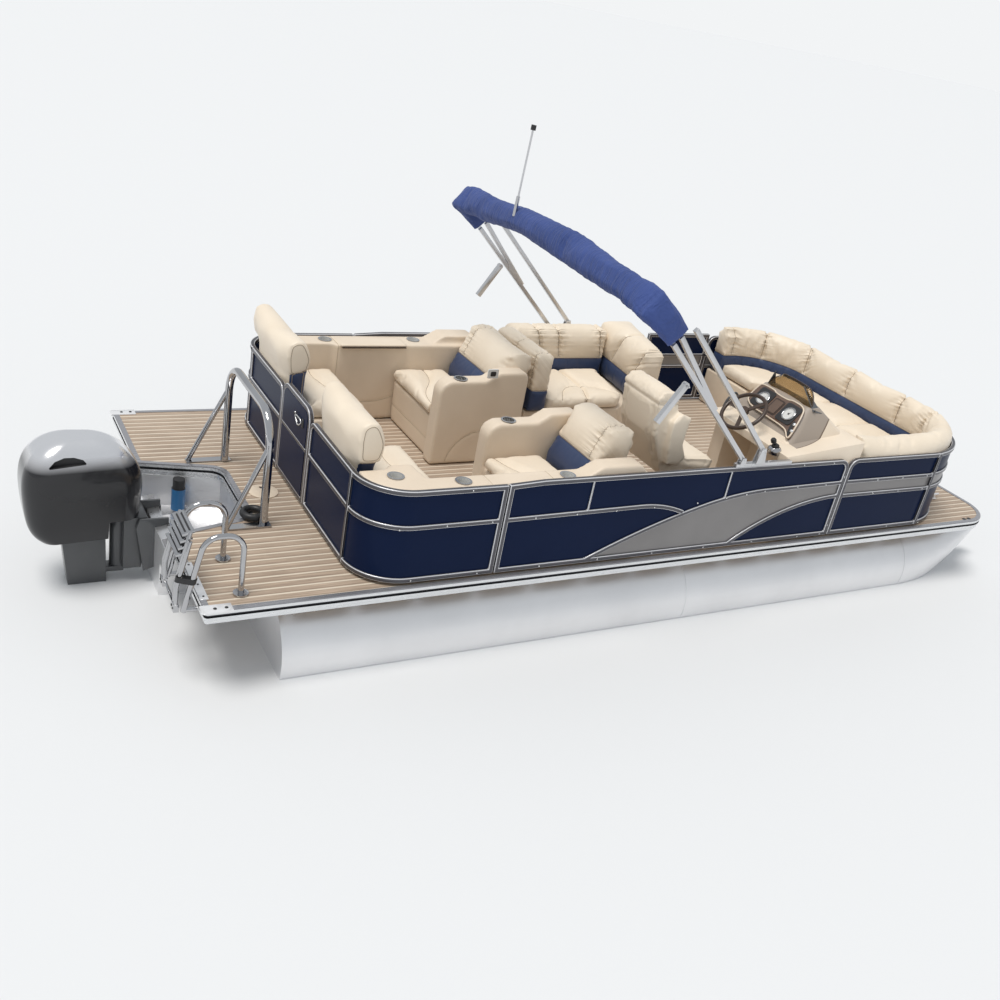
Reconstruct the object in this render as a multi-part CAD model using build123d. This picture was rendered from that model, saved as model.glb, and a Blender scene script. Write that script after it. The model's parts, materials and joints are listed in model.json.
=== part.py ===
from build123d import *
import os
from math import cos, radians, sin

# Pontoon boat, in mm. While it is drawn, X runs forward from the stern edge of the deck,
# Y to port from the centreline and Z up from the deck's top. save() then sets every piece
# down with the origin amidships at the waterline.
midships = 3190
freeboard = 530

# Deck and its edge trim
deck_length = 6380
half_beam = 1295
deck_thickness = 32
trim_height = 75
bow_corner = 300
well_depth = 510
well_half_aft = 470
well_half_fore = 330

# Floats
float_radius = 317.5
float_y = 960
float_z = -440
float_aft = 450
nose_start = 5500
nose_tip = 6655
riser_top = -80

# Fence
fence_y = 1265
fence_aft = 855
fence_fore = 5980
rail = 30
sheet = 6
aft_turn = 300
bow_turn = 640
sill_z = 35
top_z_aft = 590
top_z = 605
mid_z = 375
band_high = 442
band_low = 333
gate_half = 262
post_gap = 6
side_gate = (4480, 5165)
seam_posts = (975, 5420)
corner_turn = 80

# Gate hinges: where each barrel's axis stands, and the heights of the stern gate's two
stern_hinge = (894, 265)
side_hinge = (5168, 1226)
hinge_heights = (130, 510)

# Seats
seat_z = 430
ledge_z = 600
inner_y = 1228
cup_radius = 38

# Engine
tilt_axis = (-50, -115)
steer_x = -190
propeller_x = -655
propeller_z = -860

# Canopy frame
canopy_y = 1250
frame_tube = 30
canopy_foot = (3450, 672)
brace_foot = (3600, 735)
strut_top = (2840, 1185)
frame_line = (-0.7214, 0.6925)

# Helm
wheel_centre = (3870, -720, 770)
wheel_radius = 160
wheel_tilt = 50
chair_axis = (3280, -715)

afloat = Pos(-midships, 0, freeboard)


def save(node, *shapes):
    solids = []
    for shape in shapes:
        solids.extend(shape.solids())
    placed = Compound(children=[afloat * solid for solid in solids])
    export_step(placed, f"parts/{node}.step")


def block(x, y, z):
    size = (x[1] - x[0], y[1] - y[0], z[1] - z[0])
    return Pos(x[0], y[0], z[0]) * Box(*size, align=(Align.MIN, Align.MIN, Align.MIN))


def upright(y):
    return Plane(origin=(0, y, 0), x_dir=(1, 0, 0), z_dir=(0, -1, 0))


def side_shape(points, y, rounding=0):
    # an outline of (x, z) points, carried from y[0] to y[1]
    face = make_face(Polyline(*points, close=True))
    if rounding:
        face = fillet(face.vertices(), rounding)
    return extrude(upright(y[0]) * face, amount=y[1] - y[0], dir=(0, 1, 0))


def turned_shape(points, y):
    # an outline of (x, z, corner radius) points, carried from y[0] to y[1]
    face = make_face(Polyline(*[(x, z) for x, z, radius in points], close=True))
    for x, z, radius in points:
        if radius:
            corner = face.vertices().sort_by_distance((x, z, 0))[0]
            face = fillet(corner, radius)
    return extrude(upright(y[0]) * face, amount=y[1] - y[0], dir=(0, 1, 0))


def plan_shape(points, z, rounding=0):
    # an outline of (x, y) points, carried from z[0] to z[1]
    face = make_face(Polyline(*points, close=True))
    if rounding:
        face = fillet(face.vertices(), rounding)
    return extrude(Pos(0, 0, z[0]) * face, amount=z[1] - z[0])


def tube(points, radius, bends=None):
    # a round bar through the points, with one bend radius or a list of them
    if len(points) == 2:
        path = Line(*points)
    else:
        if not isinstance(bends, (list, tuple)):
            bends = [bends] * (len(points) - 2)
        path = FilletPolyline(*points, radius=bends)
    start = Plane(origin=path @ 0, z_dir=path % 0)
    return sweep(start * Circle(radius), path)


def rod(start, end, radius):
    axis = Vector(*end) - Vector(*start)
    return Plane(origin=start, z_dir=axis) * Cylinder(
        radius, axis.length, align=(Align.CENTER, Align.CENTER, Align.MIN))


def square_bar(start, end, width, depth):
    # a square tube in the plane Y = constant; width lies along Y
    axis = Vector(*end) - Vector(*start)
    return Plane(origin=start, x_dir=(0, 1, 0), z_dir=axis) * Box(
        width, depth, axis.length, align=(Align.CENTER, Align.CENTER, Align.MIN))


def both_sides(shape):
    return [shape, mirror(shape, about=Plane.XZ)]


def deck_face(inset):
    outline = Polyline(
        (0, -half_beam), (deck_length, -half_beam), (deck_length, half_beam), (0, half_beam),
        (0, well_half_aft), (well_depth, well_half_fore), (well_depth, -well_half_fore),
        (0, -well_half_aft), close=True)
    face = make_face(outline)
    bow = face.vertices().filter_by(lambda v: v.X > deck_length - 1)
    face = fillet(bow, bow_corner)
    well = face.vertices().filter_by(lambda v: abs(v.X - well_depth) < 1)
    face = fillet(well, 100)
    outer = face.vertices().filter_by(lambda v: v.X < 1)
    face = fillet(outer, 22)
    return offset(face, -inset) if inset else face


def build_deck():
    save("deck", extrude(Pos(0, 0, -deck_thickness) * deck_face(14), amount=deck_thickness))


def build_deck_trim():
    # low z, high z, how far the band stands in from the widest line
    bands = [(-trim_height, -50, 6), (-50, -36, 0), (-36, -22, 7), (-22, 0, 2)]
    core = Pos(0, 0, -200) * extrude(deck_face(14), amount=400)
    ring = None
    for low, high, inset in bands:
        band = extrude(Pos(0, 0, low) * deck_face(inset), amount=high - low) - core
        ring = band if ring is None else ring + band
    lip = extrude(deck_face(4), amount=4) - Pos(0, 0, -10) * extrude(deck_face(36), amount=30)
    save("deck_trim", ring + lip)


def nose_sections():
    # x, half width, lowest z, highest z
    table = [(nose_start, float_radius, float_z - float_radius, float_z + float_radius),
             (5850, 282, -694, -124),
             (6250, 178, -487, -160),
             (nose_tip, 22, -283, -232)]
    return table


def float_body(side):
    y = side * float_y
    along = Plane(origin=(float_aft, y, float_z), z_dir=(1, 0, 0))
    body = extrude(along * Circle(float_radius), amount=nose_start - float_aft)
    rings = []
    for x, half_width, low, high in nose_sections():
        plane = Plane(origin=(x, y, (low + high) / 2), x_dir=(0, 1, 0), z_dir=(1, 0, 0))
        rings.append(plane * Ellipse(half_width, (high - low) / 2))
    shape = body + loft(rings)
    for seam in (3300, nose_start - 8):
        weld = Plane(origin=(seam, y, float_z), z_dir=(1, 0, 0)) * Circle(float_radius + 3)
        shape += extrude(weld, amount=14)
    web = block((560, 5900), (y - 75, y + 75), (-150, riser_top))
    web -= block((560, 5900), (y - 67, y + 67), (-150, riser_top - 8))
    filled = extrude(along * Circle(float_radius - 2), amount=nose_start - float_aft) + loft(rings)
    return shape + (web - filled)


def build_floats():
    save("float_port", float_body(1))
    save("float_starboard", float_body(-1))


def build_tow_eyes():
    # a keel strip up each stem, ending in a holed lug for a rope or shackle
    eye = (6560, -372)
    strip = (float_y - 4, float_y + 4)
    stem = side_shape([(5800, -742), (6660, -300), (6640, -262), (5800, -690)], strip)
    lug = Pos(eye[0], float_y, eye[1]) * Rot(90, 0, 0) * Cylinder(34, 8)
    lug += side_shape([(6500, -360), (6590, -350), (6640, -290), (6520, -330)], strip)
    hole = Pos(eye[0], float_y, eye[1]) * Rot(90, 0, 0) * Cylinder(9, 40)
    keel = stem + lug - hole - float_body(1)
    save("tow_eyes", *both_sides(keel.solids().sort_by(SortBy.VOLUME)[-1]))


def build_cross_channels():
    beams = []
    low, high = riser_top, -deck_thickness
    section = [(0, low), (40, low), (40, low + 5), (5, low + 5), (5, high - 5), (40, high - 5),
               (40, high), (0, high)]
    reach = half_beam - 16
    for index in range(16):
        x = 120 + index * 400
        gap = well_half_aft + 20 if x < well_depth + 40 else 0
        points = [(x + dx, z) for dx, z in section]
        if x > deck_length - bow_corner:
            reach = 1000
        if gap:
            beams += both_sides(side_shape(points, (gap, reach)))
        else:
            beams.append(side_shape(points, (-reach, reach)))
    save("cross_channels", *beams)


def well_outline(grow):
    return [(0, -well_half_aft - grow), (well_depth + grow, -well_half_fore - grow),
            (well_depth + grow, well_half_fore + grow), (0, well_half_aft + grow)]


def build_motor_pod():
    # a welded box under the deck whose aft wall is the transom, with the splash well's tub above it
    outline = [(0, -140), (70, -128), (70, -300), (520, -300), (560, riser_top), (1500, riser_top),
               (1500, -180), (1150, -560), (80, -610), (0, -600)]
    pod = side_shape(outline, (-280, 280))
    height = (-300, -trim_height - 1)
    tub = plan_shape(well_outline(9), height) - plan_shape(well_outline(4), (-295, 0))
    tub += plan_shape(well_outline(4), (-306, -300))
    closing = block((0, 5), (-well_half_aft, well_half_aft), (-300, -140))
    tub = tub + closing - block((-1, 70), (-280, 280), (-700, 10))
    save("motor_pod", pod + tub)


def fence_face(inset):
    # plan of the whole fence at an inset from its outer face
    side_y = fence_y - inset
    aft_x = fence_aft + inset
    fore_x = fence_fore - inset
    face = make_face(Polyline((aft_x, -side_y), (fore_x, -side_y), (fore_x, side_y),
                              (aft_x, side_y), close=True))
    bow = face.vertices().filter_by(lambda v: v.X > fore_x - 1)
    face = fillet(bow, max(bow_turn - inset, 60))
    aft = face.vertices().filter_by(lambda v: v.X < aft_x + 1)
    return fillet(aft, max(aft_turn - inset, 60))


def fence_ring(outer, inner, z):
    ring = fence_face(outer) - fence_face(inner)
    return extrude(Pos(0, 0, z[0]) * ring, amount=z[1] - z[0])


# where the fence is cut into its sections, as plan boxes
aft_zone = ((0, 1706), (gate_half + post_gap, 2000))
side_zone = ((1716, 4466), (0, 2000))
bow_zone = ((4476, 7000), (-2000, 2000))


def cut_to(shape, zone, z=(-100, 900)):
    return shape & block(zone[0], zone[1], z)


def fence_post(x, high, low=sill_z - 15):
    return block((x - rail / 2, x + rail / 2), (fence_y - rail, fence_y), (low, high))


def turned_corner(x, inward, high, depth=(fence_y - rail, fence_y)):
    # the box that a rounded top corner of a frame takes up, and the bent tube that goes in it
    centre = x + inward * corner_turn
    corner = block(sorted((x - inward, centre)), depth, (high - corner_turn, high + 1))
    axis = Pos(centre, (depth[0] + depth[1]) / 2, high - corner_turn) * Rot(90, 0, 0)
    length = depth[1] - depth[0]
    bend = axis * (Cylinder(corner_turn, length) - Cylinder(corner_turn - rail, length))
    return corner, bend & corner


def with_turned_corner(part, x, inward, high):
    corner, bend = turned_corner(x, inward, high)
    return (part - corner) + bend


def panel_in_corner(panel, x, inward, high):
    # the same corner, cut out of a panel apart from what lies inside the bend
    corner = turned_corner(x, inward, high)[0]
    centre = Pos(x + inward * corner_turn, fence_y - rail / 2, high - corner_turn)
    return panel - (corner - centre * Rot(90, 0, 0) * Cylinder(corner_turn - rail, 2 * rail))


def half_rails_aft():
    low, high = sill_z - 15, top_z_aft + 15
    rings = fence_ring(0, rail, (low, sill_z + 15))
    rings += fence_ring(0, rail, (mid_z - 14, mid_z + 14))
    rings += fence_ring(0, rail, (top_z_aft - 15, high))
    part = cut_to(rings, aft_zone)
    edge = gate_half + post_gap
    for y in (edge, seam_posts[0] - rail):
        part += block((fence_aft, fence_aft + rail), (y, y + rail), (low, high))
    part += block((1676, 1706), (fence_y - rail, fence_y), (low, high))
    return (part - gate_corner(edge)) + (gate_turn(edge, 70) - gate_turn(edge, 40))


def gate_corner(edge):
    return block((fence_aft - 5, fence_aft + rail + 5), (edge - 1, edge + 70),
                 (top_z_aft - 54, top_z_aft + 16))


def gate_turn(edge, radius):
    # the rounded top corner of the fence beside the gate
    turn = Pos(fence_aft + rail / 2, edge + 70, top_z_aft - 55) * Rot(0, 90, 0) * Cylinder(radius, rail)
    return turn & gate_corner(edge)


def hinge_knuckles(edge):
    # the fence's two knuckles of each gate hinge, one above and one below the gate's own
    x, y = stern_hinge
    shape = None
    for z in hinge_heights:
        for low in (z - 45, z + 16):
            piece = rod((x, y, low), (x, y, low + 29), 8)
            piece += block((fence_aft + rail, fence_aft + rail + 3), (y - 2, edge + 28), (low, low + 29))
            shape = piece if shape is None else shape + piece
    return shape


def swoosh_lines():
    # centre lines of the two swept rails on the side, in (x, z)
    first = TangentArc((2365, 38), (3200, 345), tangent=(cos(radians(25)), sin(radians(25))))
    second = TangentArc(first @ 1, (3720, 428), tangent=first % 1)
    third = Line(second @ 1, (4466, band_high))
    low_first = TangentArc((3530, 38), (4380, 333), tangent=(cos(radians(34)), sin(radians(34))))
    low_second = Line(low_first @ 1, (4466, band_low + 3))
    return [first, second, third], [low_first, low_second]


def swept_band(edges, half_width, y):
    # the area within half_width of a line of arcs, carried between two y values
    faces = trace(edges, half_width * 2)
    return extrude(upright(y[0]) * faces, amount=y[1] - y[0], dir=(0, 1, 0))


def half_rails_side():
    outer = (fence_y - rail, fence_y)
    high = top_z + 15
    x0, x1 = side_zone[0]
    part = block((x0, x1), outer, (sill_z - 15, sill_z + 15))
    part += side_shape([(x0, top_z_aft - 15), (1950, top_z - 15), (x1, top_z - 15), (x1, high),
                        (1950, high), (x0, top_z_aft + 15)], outer)
    part += block((x0, x0 + rail), outer, (sill_z - 15, top_z_aft + 15))
    part += block((x1 - rail, x1), outer, (sill_z - 15, high))
    upper, lower = swoosh_lines()
    for edges in (upper, lower):
        part += swept_band(edges, 14, outer) & block((x0, x1), outer, (sill_z, top_z))
    mid = [Line((x0, mid_z), (2700, mid_z + 12)),
           ThreePointArc((2700, mid_z + 12), (2900, 368), (3060, 318))]
    part += swept_band(mid, 14, outer) & block((x0, x1), outer, (sill_z, top_z))
    for x, low, top in ((2300, mid_z, top_z), (3386, 400, top_z)):
        part += block((x - 6, x + 6), outer, (low, top))
    return with_turned_corner(part, x1, -1, high)


def bow_rails():
    high = top_z + 15
    rings = None
    for z, half in ((sill_z, 15), (band_low, 14), (band_high, 14), (top_z, 15)):
        ring = cut_to(fence_ring(0, rail, (z - half, z + half)), bow_zone)
        rings = ring if rings is None else rings + ring
    aft_x = bow_zone[0][0]
    posts = fence_post(aft_x + rail / 2, high) + fence_post(seam_posts[1], high)
    starboard = with_turned_corner(mirror(rings, about=Plane.XZ) + posts, aft_x, 1, high)
    rings = mirror(starboard, about=Plane.XZ)
    port_x = side_gate[1] + post_gap
    rings -= block((4000, port_x), (0, 2000), (0, 900))
    rings += fence_post(seam_posts[1], high)
    rings = with_turned_corner(rings + fence_post(port_x + rail / 2, high), port_x, 1, high)
    x, y = side_hinge
    for low in (130, 430):
        for z in (low, low + 61):
            rings += rod((x, y, z), (x, y, z + 29), 8)
            rings += block((x - 2, port_x + 28), (fence_y - rail - 3, fence_y - rail), (z, z + 29))
    return rings


def build_fence_rails():
    starboard = mirror(half_rails_aft(), about=Plane.XZ)
    save("fence_rails_aft", half_rails_aft() + hinge_knuckles(gate_half + post_gap), starboard)
    save("fence_rails_sides", *both_sides(half_rails_side()))
    save("fence_rails_bow", bow_rails())


def side_panels():
    # the sheets between the rails of one side, split into the taupe field and the navy ones
    x0, x1 = side_zone[0]
    skin = (fence_y - 12 - sheet, fence_y - 12)
    low, high = sill_z + 15, top_z - 15
    side = panel_in_corner(block((x0 + rail, x1 - rail), skin, (low, high)), x1, -1, top_z + 15)
    side -= half_rails_side()
    field = Vector(3300, (skin[0] + skin[1]) / 2, 120)
    taupe = [solid for solid in side.solids() if solid.is_inside(field)]
    navy = [solid for solid in side.solids() if not solid.is_inside(field)]
    return taupe, navy


def build_fence_panels():
    low, high = sill_z + 15, top_z_aft - 15
    skin = fence_ring(12, 12 + sheet, (low, high))
    edge = gate_half + post_gap
    aft = cut_to(skin, ((0, 1676), (edge + rail, 2000)))
    aft -= block((800, 900), (seam_posts[0] - rail, seam_posts[0]), (0, 900))
    aft -= gate_corner(edge) - gate_turn(edge, 40)
    aft -= fence_ring(0, rail, (mid_z - 14, mid_z + 14))
    save("fence_panels_aft", *both_sides(aft))
    taupe, navy = side_panels()
    save("fence_panels_sides", *[piece for solid in navy for piece in both_sides(solid)])
    save("fence_swooshes", *[piece for solid in taupe for piece in both_sides(solid)])
    build_bow_panels(low)


def build_bow_panels(low):
    high = top_z + 15
    aft_x, port_x = bow_zone[0][0], side_gate[1] + post_gap
    fore = cut_to(fence_ring(12, 12 + sheet, (low, top_z - 15)), ((aft_x + rail, 7000), (-2000, 2000)))
    fore -= block((4000, port_x + rail), (0, 2000), (0, 900))
    for z in (band_low, band_high):
        fore -= fence_ring(0, rail, (z - 14, z + 14))
    for y in ((-2000, -1200), (1200, 2000)):
        fore -= block((seam_posts[1] - rail / 2, seam_posts[1] + rail / 2), y, (0, 900))
    fore = panel_in_corner(fore, port_x, 1, high)
    fore = mirror(panel_in_corner(mirror(fore, about=Plane.XZ), aft_x, 1, high), about=Plane.XZ)
    band = [solid for solid in fore.solids() if band_low < solid.center().Z < band_high]
    rest = [solid for solid in fore.solids() if not band_low < solid.center().Z < band_high]
    save("fence_band", *band)
    save("fence_panels_bow", *rest)


def stern_gate():
    width, height, middle = 2 * gate_half, 630, 340
    outer = fillet(Rectangle(width, height).vertices().group_by(Axis.Y)[-1], 90)
    inner = fillet(Rectangle(width - 2 * rail, height - 2 * rail).vertices().group_by(Axis.Y)[-1], 60)
    bar = Pos(0, mid_z - middle) * Rectangle(width - rail, 24)
    plane = Plane(origin=(fence_aft, 0, middle), x_dir=(0, 1, 0), z_dir=(1, 0, 0))
    frame = extrude(plane * (outer - inner + bar), amount=rail)
    x, y = stern_hinge
    for z in hinge_heights:
        frame += rod((x, y, z - 15), (x, y, z + 15), 8)
        leaf = (gate_half - 28, y + 2)
        frame += block((fence_aft + rail, fence_aft + rail + 3), leaf, (z - 15, z + 15))
    panel = extrude(Pos(12, 0, 0) * plane * inner, amount=sheet) - frame
    return frame, panel


def port_gate():
    x0, x1 = side_gate
    frame = block((x0, x1), (fence_y - rail, fence_y), (20, 640))
    bands = ((50, band_low - 12), (band_low + 12, band_high - 12), (band_high + 12, 610))
    sheets = []
    for z in bands:
        frame -= block((x0 + rail, x1 - rail), (1000, 1400), z)
        sheets.append(block((x0 + rail, x1 - rail), (fence_y - 18, fence_y - 12), z))
    x, y = side_hinge
    for z in (130, 430):
        frame += rod((x, y, z + 30), (x, y, z + 60), 8)
        frame += block((x1 - 28, x + 2), (fence_y - rail - 3, fence_y - rail), (z + 30, z + 60))
    return frame, sheets


def build_gates():
    frame, panel = stern_gate()
    save("stern_gate_frame", frame)
    save("stern_gate_panel", panel)
    frame, sheets = port_gate()
    save("port_gate_frame", frame)
    save("port_gate_panel", sheets[0], sheets[2])
    save("port_gate_band", sheets[1])


def cushion(x, y, z, rounding=40):
    # a soft block with its long side edges rounded, seen from the side
    points = [(x[0], z[0]), (x[1], z[0]), (x[1], z[1]), (x[0], z[1])]
    return side_shape(points, y, rounding)


def build_stern_seats():
    # inner and outer y of the seat, how far out the top of its back reaches over the fence, its lowest z
    table = [(330, 1040, 1150, 640), (-900, -278, -950, 602)]
    bases, seats, backs = [], [], []
    for low, high, reach, pillow_z in table:
        bases.append(side_shape([(1060, 8), (1440, 8), (1455, 320), (1060, 320)], (low, high)))
        seats.append(cushion((1062, 1490), (low + 4, high - 4), (321, seat_z)))
        top = [(903, pillow_z), (1062, pillow_z + 14), (1072, 760), (1022, 872), (955, 890), (892, 852),
               (884, 760)]
        span = sorted((low if reach > 0 else high, reach))
        back = side_shape([(908, 332), (1040, 332), (1046, 650), (905, 650)], (low, high), 20)
        backs.append(back + side_shape(top, span, 24))
    save("stern_seat_bases", *bases)
    save("stern_seat_cushions", *seats)
    save("stern_seat_backs", *backs)


def cup_well(x, y, z):
    return Pos(x, y, z + 1) * Cylinder(cup_radius + 4, 91, align=(Align.CENTER, Align.CENTER, Align.MAX))


def lounger_arm(y, cup_y):
    # the inboard arm, with a cup sunk in its flat and a hump beside the back
    outline = [(1956, 8, 0), (2655, 8, 0), (2655, 702, 55), (2412, 698, 70), (2322, 640, 70),
               (1956, 640, 105)]
    return turned_shape(outline, y) - cup_well(2130, cup_y, 640)


def build_loungers():
    # seat and back between the first two y values, the arm between the next two, its cup's y
    table = [(330, 1010, 205, 325, 263), (-1010, -520, -515, -395, -450)]
    bases, seats, backs = [], [], []
    for low, high, arm_low, arm_high, cup_y in table:
        base = side_shape([(1992, 8), (2740, 8), (2740, 330), (1978, 330)], (low, high))
        bases += [base, lounger_arm((arm_low, arm_high), cup_y)]
        seats.append(cushion((1945, 2398), (low + 4, high - 4), (331, seat_z)))
        outline = [(2402, 332), (2690, 332), (2765, 690), (2745, 790), (2650, 812), (2545, 795), (2462, 590),
                   (2402, 450)]
        backs.append(side_shape(outline, (low + 4, high - 4), 22))
    save("lounger_bases", *bases)
    save("lounger_cushions", *seats)
    save("lounger_backs", *backs)


def build_side_consoles():
    # the boxed ledge along each fence, with sunken cup holders and an arm pad beside each lounger's back
    cups = [(1087, -1050), (1460, -1160), (2160, -1172), (1450, 1150), (2160, 1152)]
    port = plan_shape([(1075, 1060), (1480, 1060), (1510, 1020), (2750, 1020), (2750, inner_y),
                       (1075, inner_y)], (8, ledge_z))
    port += turned_shape([(2270, ledge_z, 0), (2380, 662, 80), (2640, 662, 50), (2700, ledge_z, 0)],
                         (1060, inner_y))
    port += block((1525, 2040), (992, 1160), (594, 610))    # the tray that lies on the ledge
    starboard = plan_shape([(900, -955), (1062, -955), (1100, -910), (1240, -910), (1262, -1090),
                            (2750, -1090), (2750, -inner_y), (900, -inner_y)], (8, ledge_z))
    starboard += turned_shape([(2270, ledge_z, 0), (2380, 667, 80), (2660, 667, 50), (2720, ledge_z, 0)],
                              (-inner_y, -1100))
    room = fence_ring(rail + 6, 600, (0, 700))
    port, starboard = port & room, starboard & room
    for x, y in cups:
        well = cup_well(x, y, ledge_z)
        port, starboard = port - well, starboard - well
    save("side_consoles", port, starboard)
    places = [(x, y, ledge_z) for x, y in cups] + [(2130, 263, 640), (2130, -450, 640)]
    liners = []
    for place in places:
        cup = Cylinder(cup_radius + 3, 86, align=(Align.CENTER, Align.CENTER, Align.MAX))
        cup += Cylinder(cup_radius + 12, 3, align=(Align.CENTER, Align.CENTER, Align.MIN))
        cup -= Pos(0, 0, -84) * Cylinder(cup_radius, 120, align=(Align.CENTER, Align.CENTER, Align.MIN))
        liners.append(Pos(*place) * Pos(0, 0, 0.5) * cup)
    save("cup_holders", *liners)


def build_bench():
    # along the port side, turning inboard at its forward end
    base = plan_shape([(2780, 380), (2780, inner_y), (4230, inner_y), (4020, 430), (3700, 430), (3640, 380)],
                      (8, 320))
    seat = plan_shape([(2955, 360), (2955, 985), (3800, 985), (3700, 440), (3620, 360)], (321, seat_z), 50)
    backs = [block((2965, 3890), (1010, inner_y - 4), (322, 755)),
             plan_shape([(3830, 450), (4035, 420), (4240, 1224), (3905, 1224), (3895, 1000)], (322, 785)),
             block((2775, 2948), (330, 1000), (322, 800))]
    rounded = [fillet(back.edges().group_by(Axis.Z)[-1], 60) for back in backs]
    save("bench_base", base)
    save("bench_cushion", seat)
    save("bench_backs", *rounded)


def bow_plan(outer, inner):
    # plan of the bow bench between two insets from the fence line
    faces = []
    for inset in (outer, inner):
        side_y, fore_x = fence_y - inset, fence_fore - inset
        face = make_face(Polyline((4600, -side_y), (fore_x, -side_y), (fore_x, side_y), (4600, side_y),
                                  close=True))
        bow = face.vertices().filter_by(lambda v: v.X > fore_x - 1)
        faces.append(fillet(bow, max(bow_turn - inset, 120)))
    return faces[0] - faces[1]


def build_bow_bench():
    keep = block((4600, 7000), (-2000, 0), (0, 1000)) + block((5225, 7000), (0, 2000), (0, 1000))
    base = extrude(Pos(0, 0, 8) * bow_plan(rail + 8, 600), amount=312) & keep
    seat = extrude(Pos(0, 0, 321) * bow_plan(rail + 185, 640), amount=seat_z - 321) & keep
    lower = extrude(Pos(0, 0, 321) * bow_plan(rail + 8, rail + 178), amount=290) & keep
    upper = extrude(Pos(0, 0, 611) * bow_plan(rail + 8, rail + 178), amount=90) & keep
    top = extrude(Pos(0, 0, 701) * bow_plan(rail + 48, rail + 138), amount=52) & keep
    save("bow_base", base)
    save("bow_cushion", seat)
    save("bow_backs", lower + upper + top)


def helm_pod():
    # the raised housing on the console: its aft face carries the dash, its top carries the screen
    rings = []
    # z, aft x, forward x, starboard y, port y, corner
    levels = [(640, 3985, 4588, -1085, -395, 60), (735, 4072, 4540, -1050, -420, 60),
              (885, 4225, 4345, -970, -470, 40)]
    for z, aft, fore, low, high, corner in levels:
        plane = Plane(origin=((aft + fore) / 2, (low + high) / 2, z))
        rings.append(plane * RectangleRounded(fore - aft, high - low, corner))
    return loft(rings, ruled=True)


def build_helm():
    body = side_shape([(3960, 8), (4590, 8), (4590, 727), (3880, 652), (3880, 600), (3960, 560)],
                      (-inner_y, -395))
    body -= block((3800, 4240), (-1040, -520), (60, 560))
    body = body + helm_pod()
    save("helm_console", body)
    dash = side_shape([(4078, 748), (4092, 734), (4224, 878), (4210, 892)], (-960, -480))
    switches = side_shape([(4000, 668), (4014, 656), (4070, 722), (4056, 734)], (-960, -780))
    save("helm_dash", dash - body, switches - body)
    sweep_line = trace(ThreePointArc((4195, -450), (4345, -720), (4195, -990)), 5)
    band = extrude(Pos(0, 0, 700) * sweep_line, amount=300)
    arch = Plane(origin=(4000, -720, 800), x_dir=(0, 1, 0), z_dir=(1, 0, 0)) * Ellipse(285, 162)
    screen = (band & extrude(arch, amount=600)) - body
    save("helm_windscreen", screen.solids().sort_by(SortBy.VOLUME)[-1])
    box = side_shape([(3850, 640), (3955, 652), (3950, 705), (3870, 700)], (-1165, -1095), 8)
    lever = rod((3905, -1130, 690), (3925, -1130, 770), 7) + Pos(3928, -1130, 772) * Sphere(15)
    save("helm_throttle", (box + lever) - body)
    tilt = radians(wheel_tilt)
    hub = Plane(origin=wheel_centre, z_dir=(-cos(tilt), 0, sin(tilt)))
    wheel = hub * Torus(wheel_radius, 14)
    wheel += hub * Cylinder(36, 30)
    for turn in (90, 210, 330):
        spoke = Box(wheel_radius, 26, 12, align=(Align.MIN, Align.CENTER, Align.CENTER))
        wheel += hub * Rot(0, 0, turn) * spoke
    save("steering_wheel", wheel)


def build_chair():
    x, y = chair_axis
    pedestal = Pos(x, y, 0) * Cylinder(150, 14, align=(Align.CENTER, Align.CENTER, Align.MIN))
    pedestal += Pos(x, y, 0) * Cylinder(36, 400, align=(Align.CENTER, Align.CENTER, Align.MIN))
    save("chair_pedestal", pedestal)
    seat = side_shape([(3060, 405), (3500, 405), (3530, 520), (3120, 540)], (y - 215, y + 215), 20)
    back = side_shape([(3070, 440), (3170, 440), (3095, 985), (3050, 1012), (2965, 1010), (2920, 960),
                       (2950, 700)], (y - 205, y + 205), 20)
    chair = seat + back
    for side_y in (y - 265, y + 215):
        chair += side_shape([(3060, 520), (3180, 490), (3225, 560), (3170, 660), (3170, 760), (3190, 850),
                             (3100, 885), (3030, 820), (3040, 640)], (side_y, side_y + 50), 12)
    save("captains_chair", chair)


def build_tow_bar():
    top, foot_y = 700, 440
    bar = tube([(560, -foot_y, 8), (560, -foot_y, top), (560, foot_y, top), (560, foot_y, 8)], 25, 200)
    for shape in both_sides(rod((560, foot_y, 520), (330, 470, 14), 16)):
        bar += shape
    for shape in both_sides(block((310, 600), (425, 485), (4, 12))):
        bar += shape
    save("tow_bar", bar)


def build_boarding():
    hoops = []
    for y in (-790, -1155):
        hoop = tube([(225, y, 8), (225, y, 365), (20, y, 365), (-75, y, -70)], 16, 98)
        hoop += Pos(225, y, 4) * Cylinder(42, 8, align=(Align.CENTER, Align.CENTER, Align.MIN))
        hoop += rod((-75, y, -60), (-4, y, -60), 14)
        hoops.append(hoop)
    save("boarding_rails", *hoops)
    ladder = rod((-105, -1131, -60), (-105, -814, -60), 9)
    # each leg is two sliding tubes side by side, joined by an end block
    for outer, inner in ((-826, -858), (-1119, -1087)):
        ladder += tube([(-105, outer, -82), (-105, outer, 60), (-48, outer, 330)], 12, 90)
        ladder += tube([(-105, inner, -60), (-105, inner, 60), (-40, inner, 370)], 12, 90)
        low, high = sorted((outer, inner))
        ladder += block((-120, -90), (low - 12, high + 12), (-88, -40))
    for index in range(4):
        x, z = -78 + index * 9, 240 + index * 40
        ladder += Pos(x, -972.5, z) * Rot(0, -15, 0) * Box(66, 235, 12)
    save("ladder", ladder)


def cowl_ring(z, aft, fore, half_aft, half_fore, corner):
    # one level of the cowl: wider at its aft end than at its forward end
    face = make_face(Polyline((aft, -half_aft), (fore, -half_fore), (fore, half_fore), (aft, half_aft),
                              close=True))
    return Pos(0, 0, z) * fillet(face.vertices(), corner)


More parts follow.
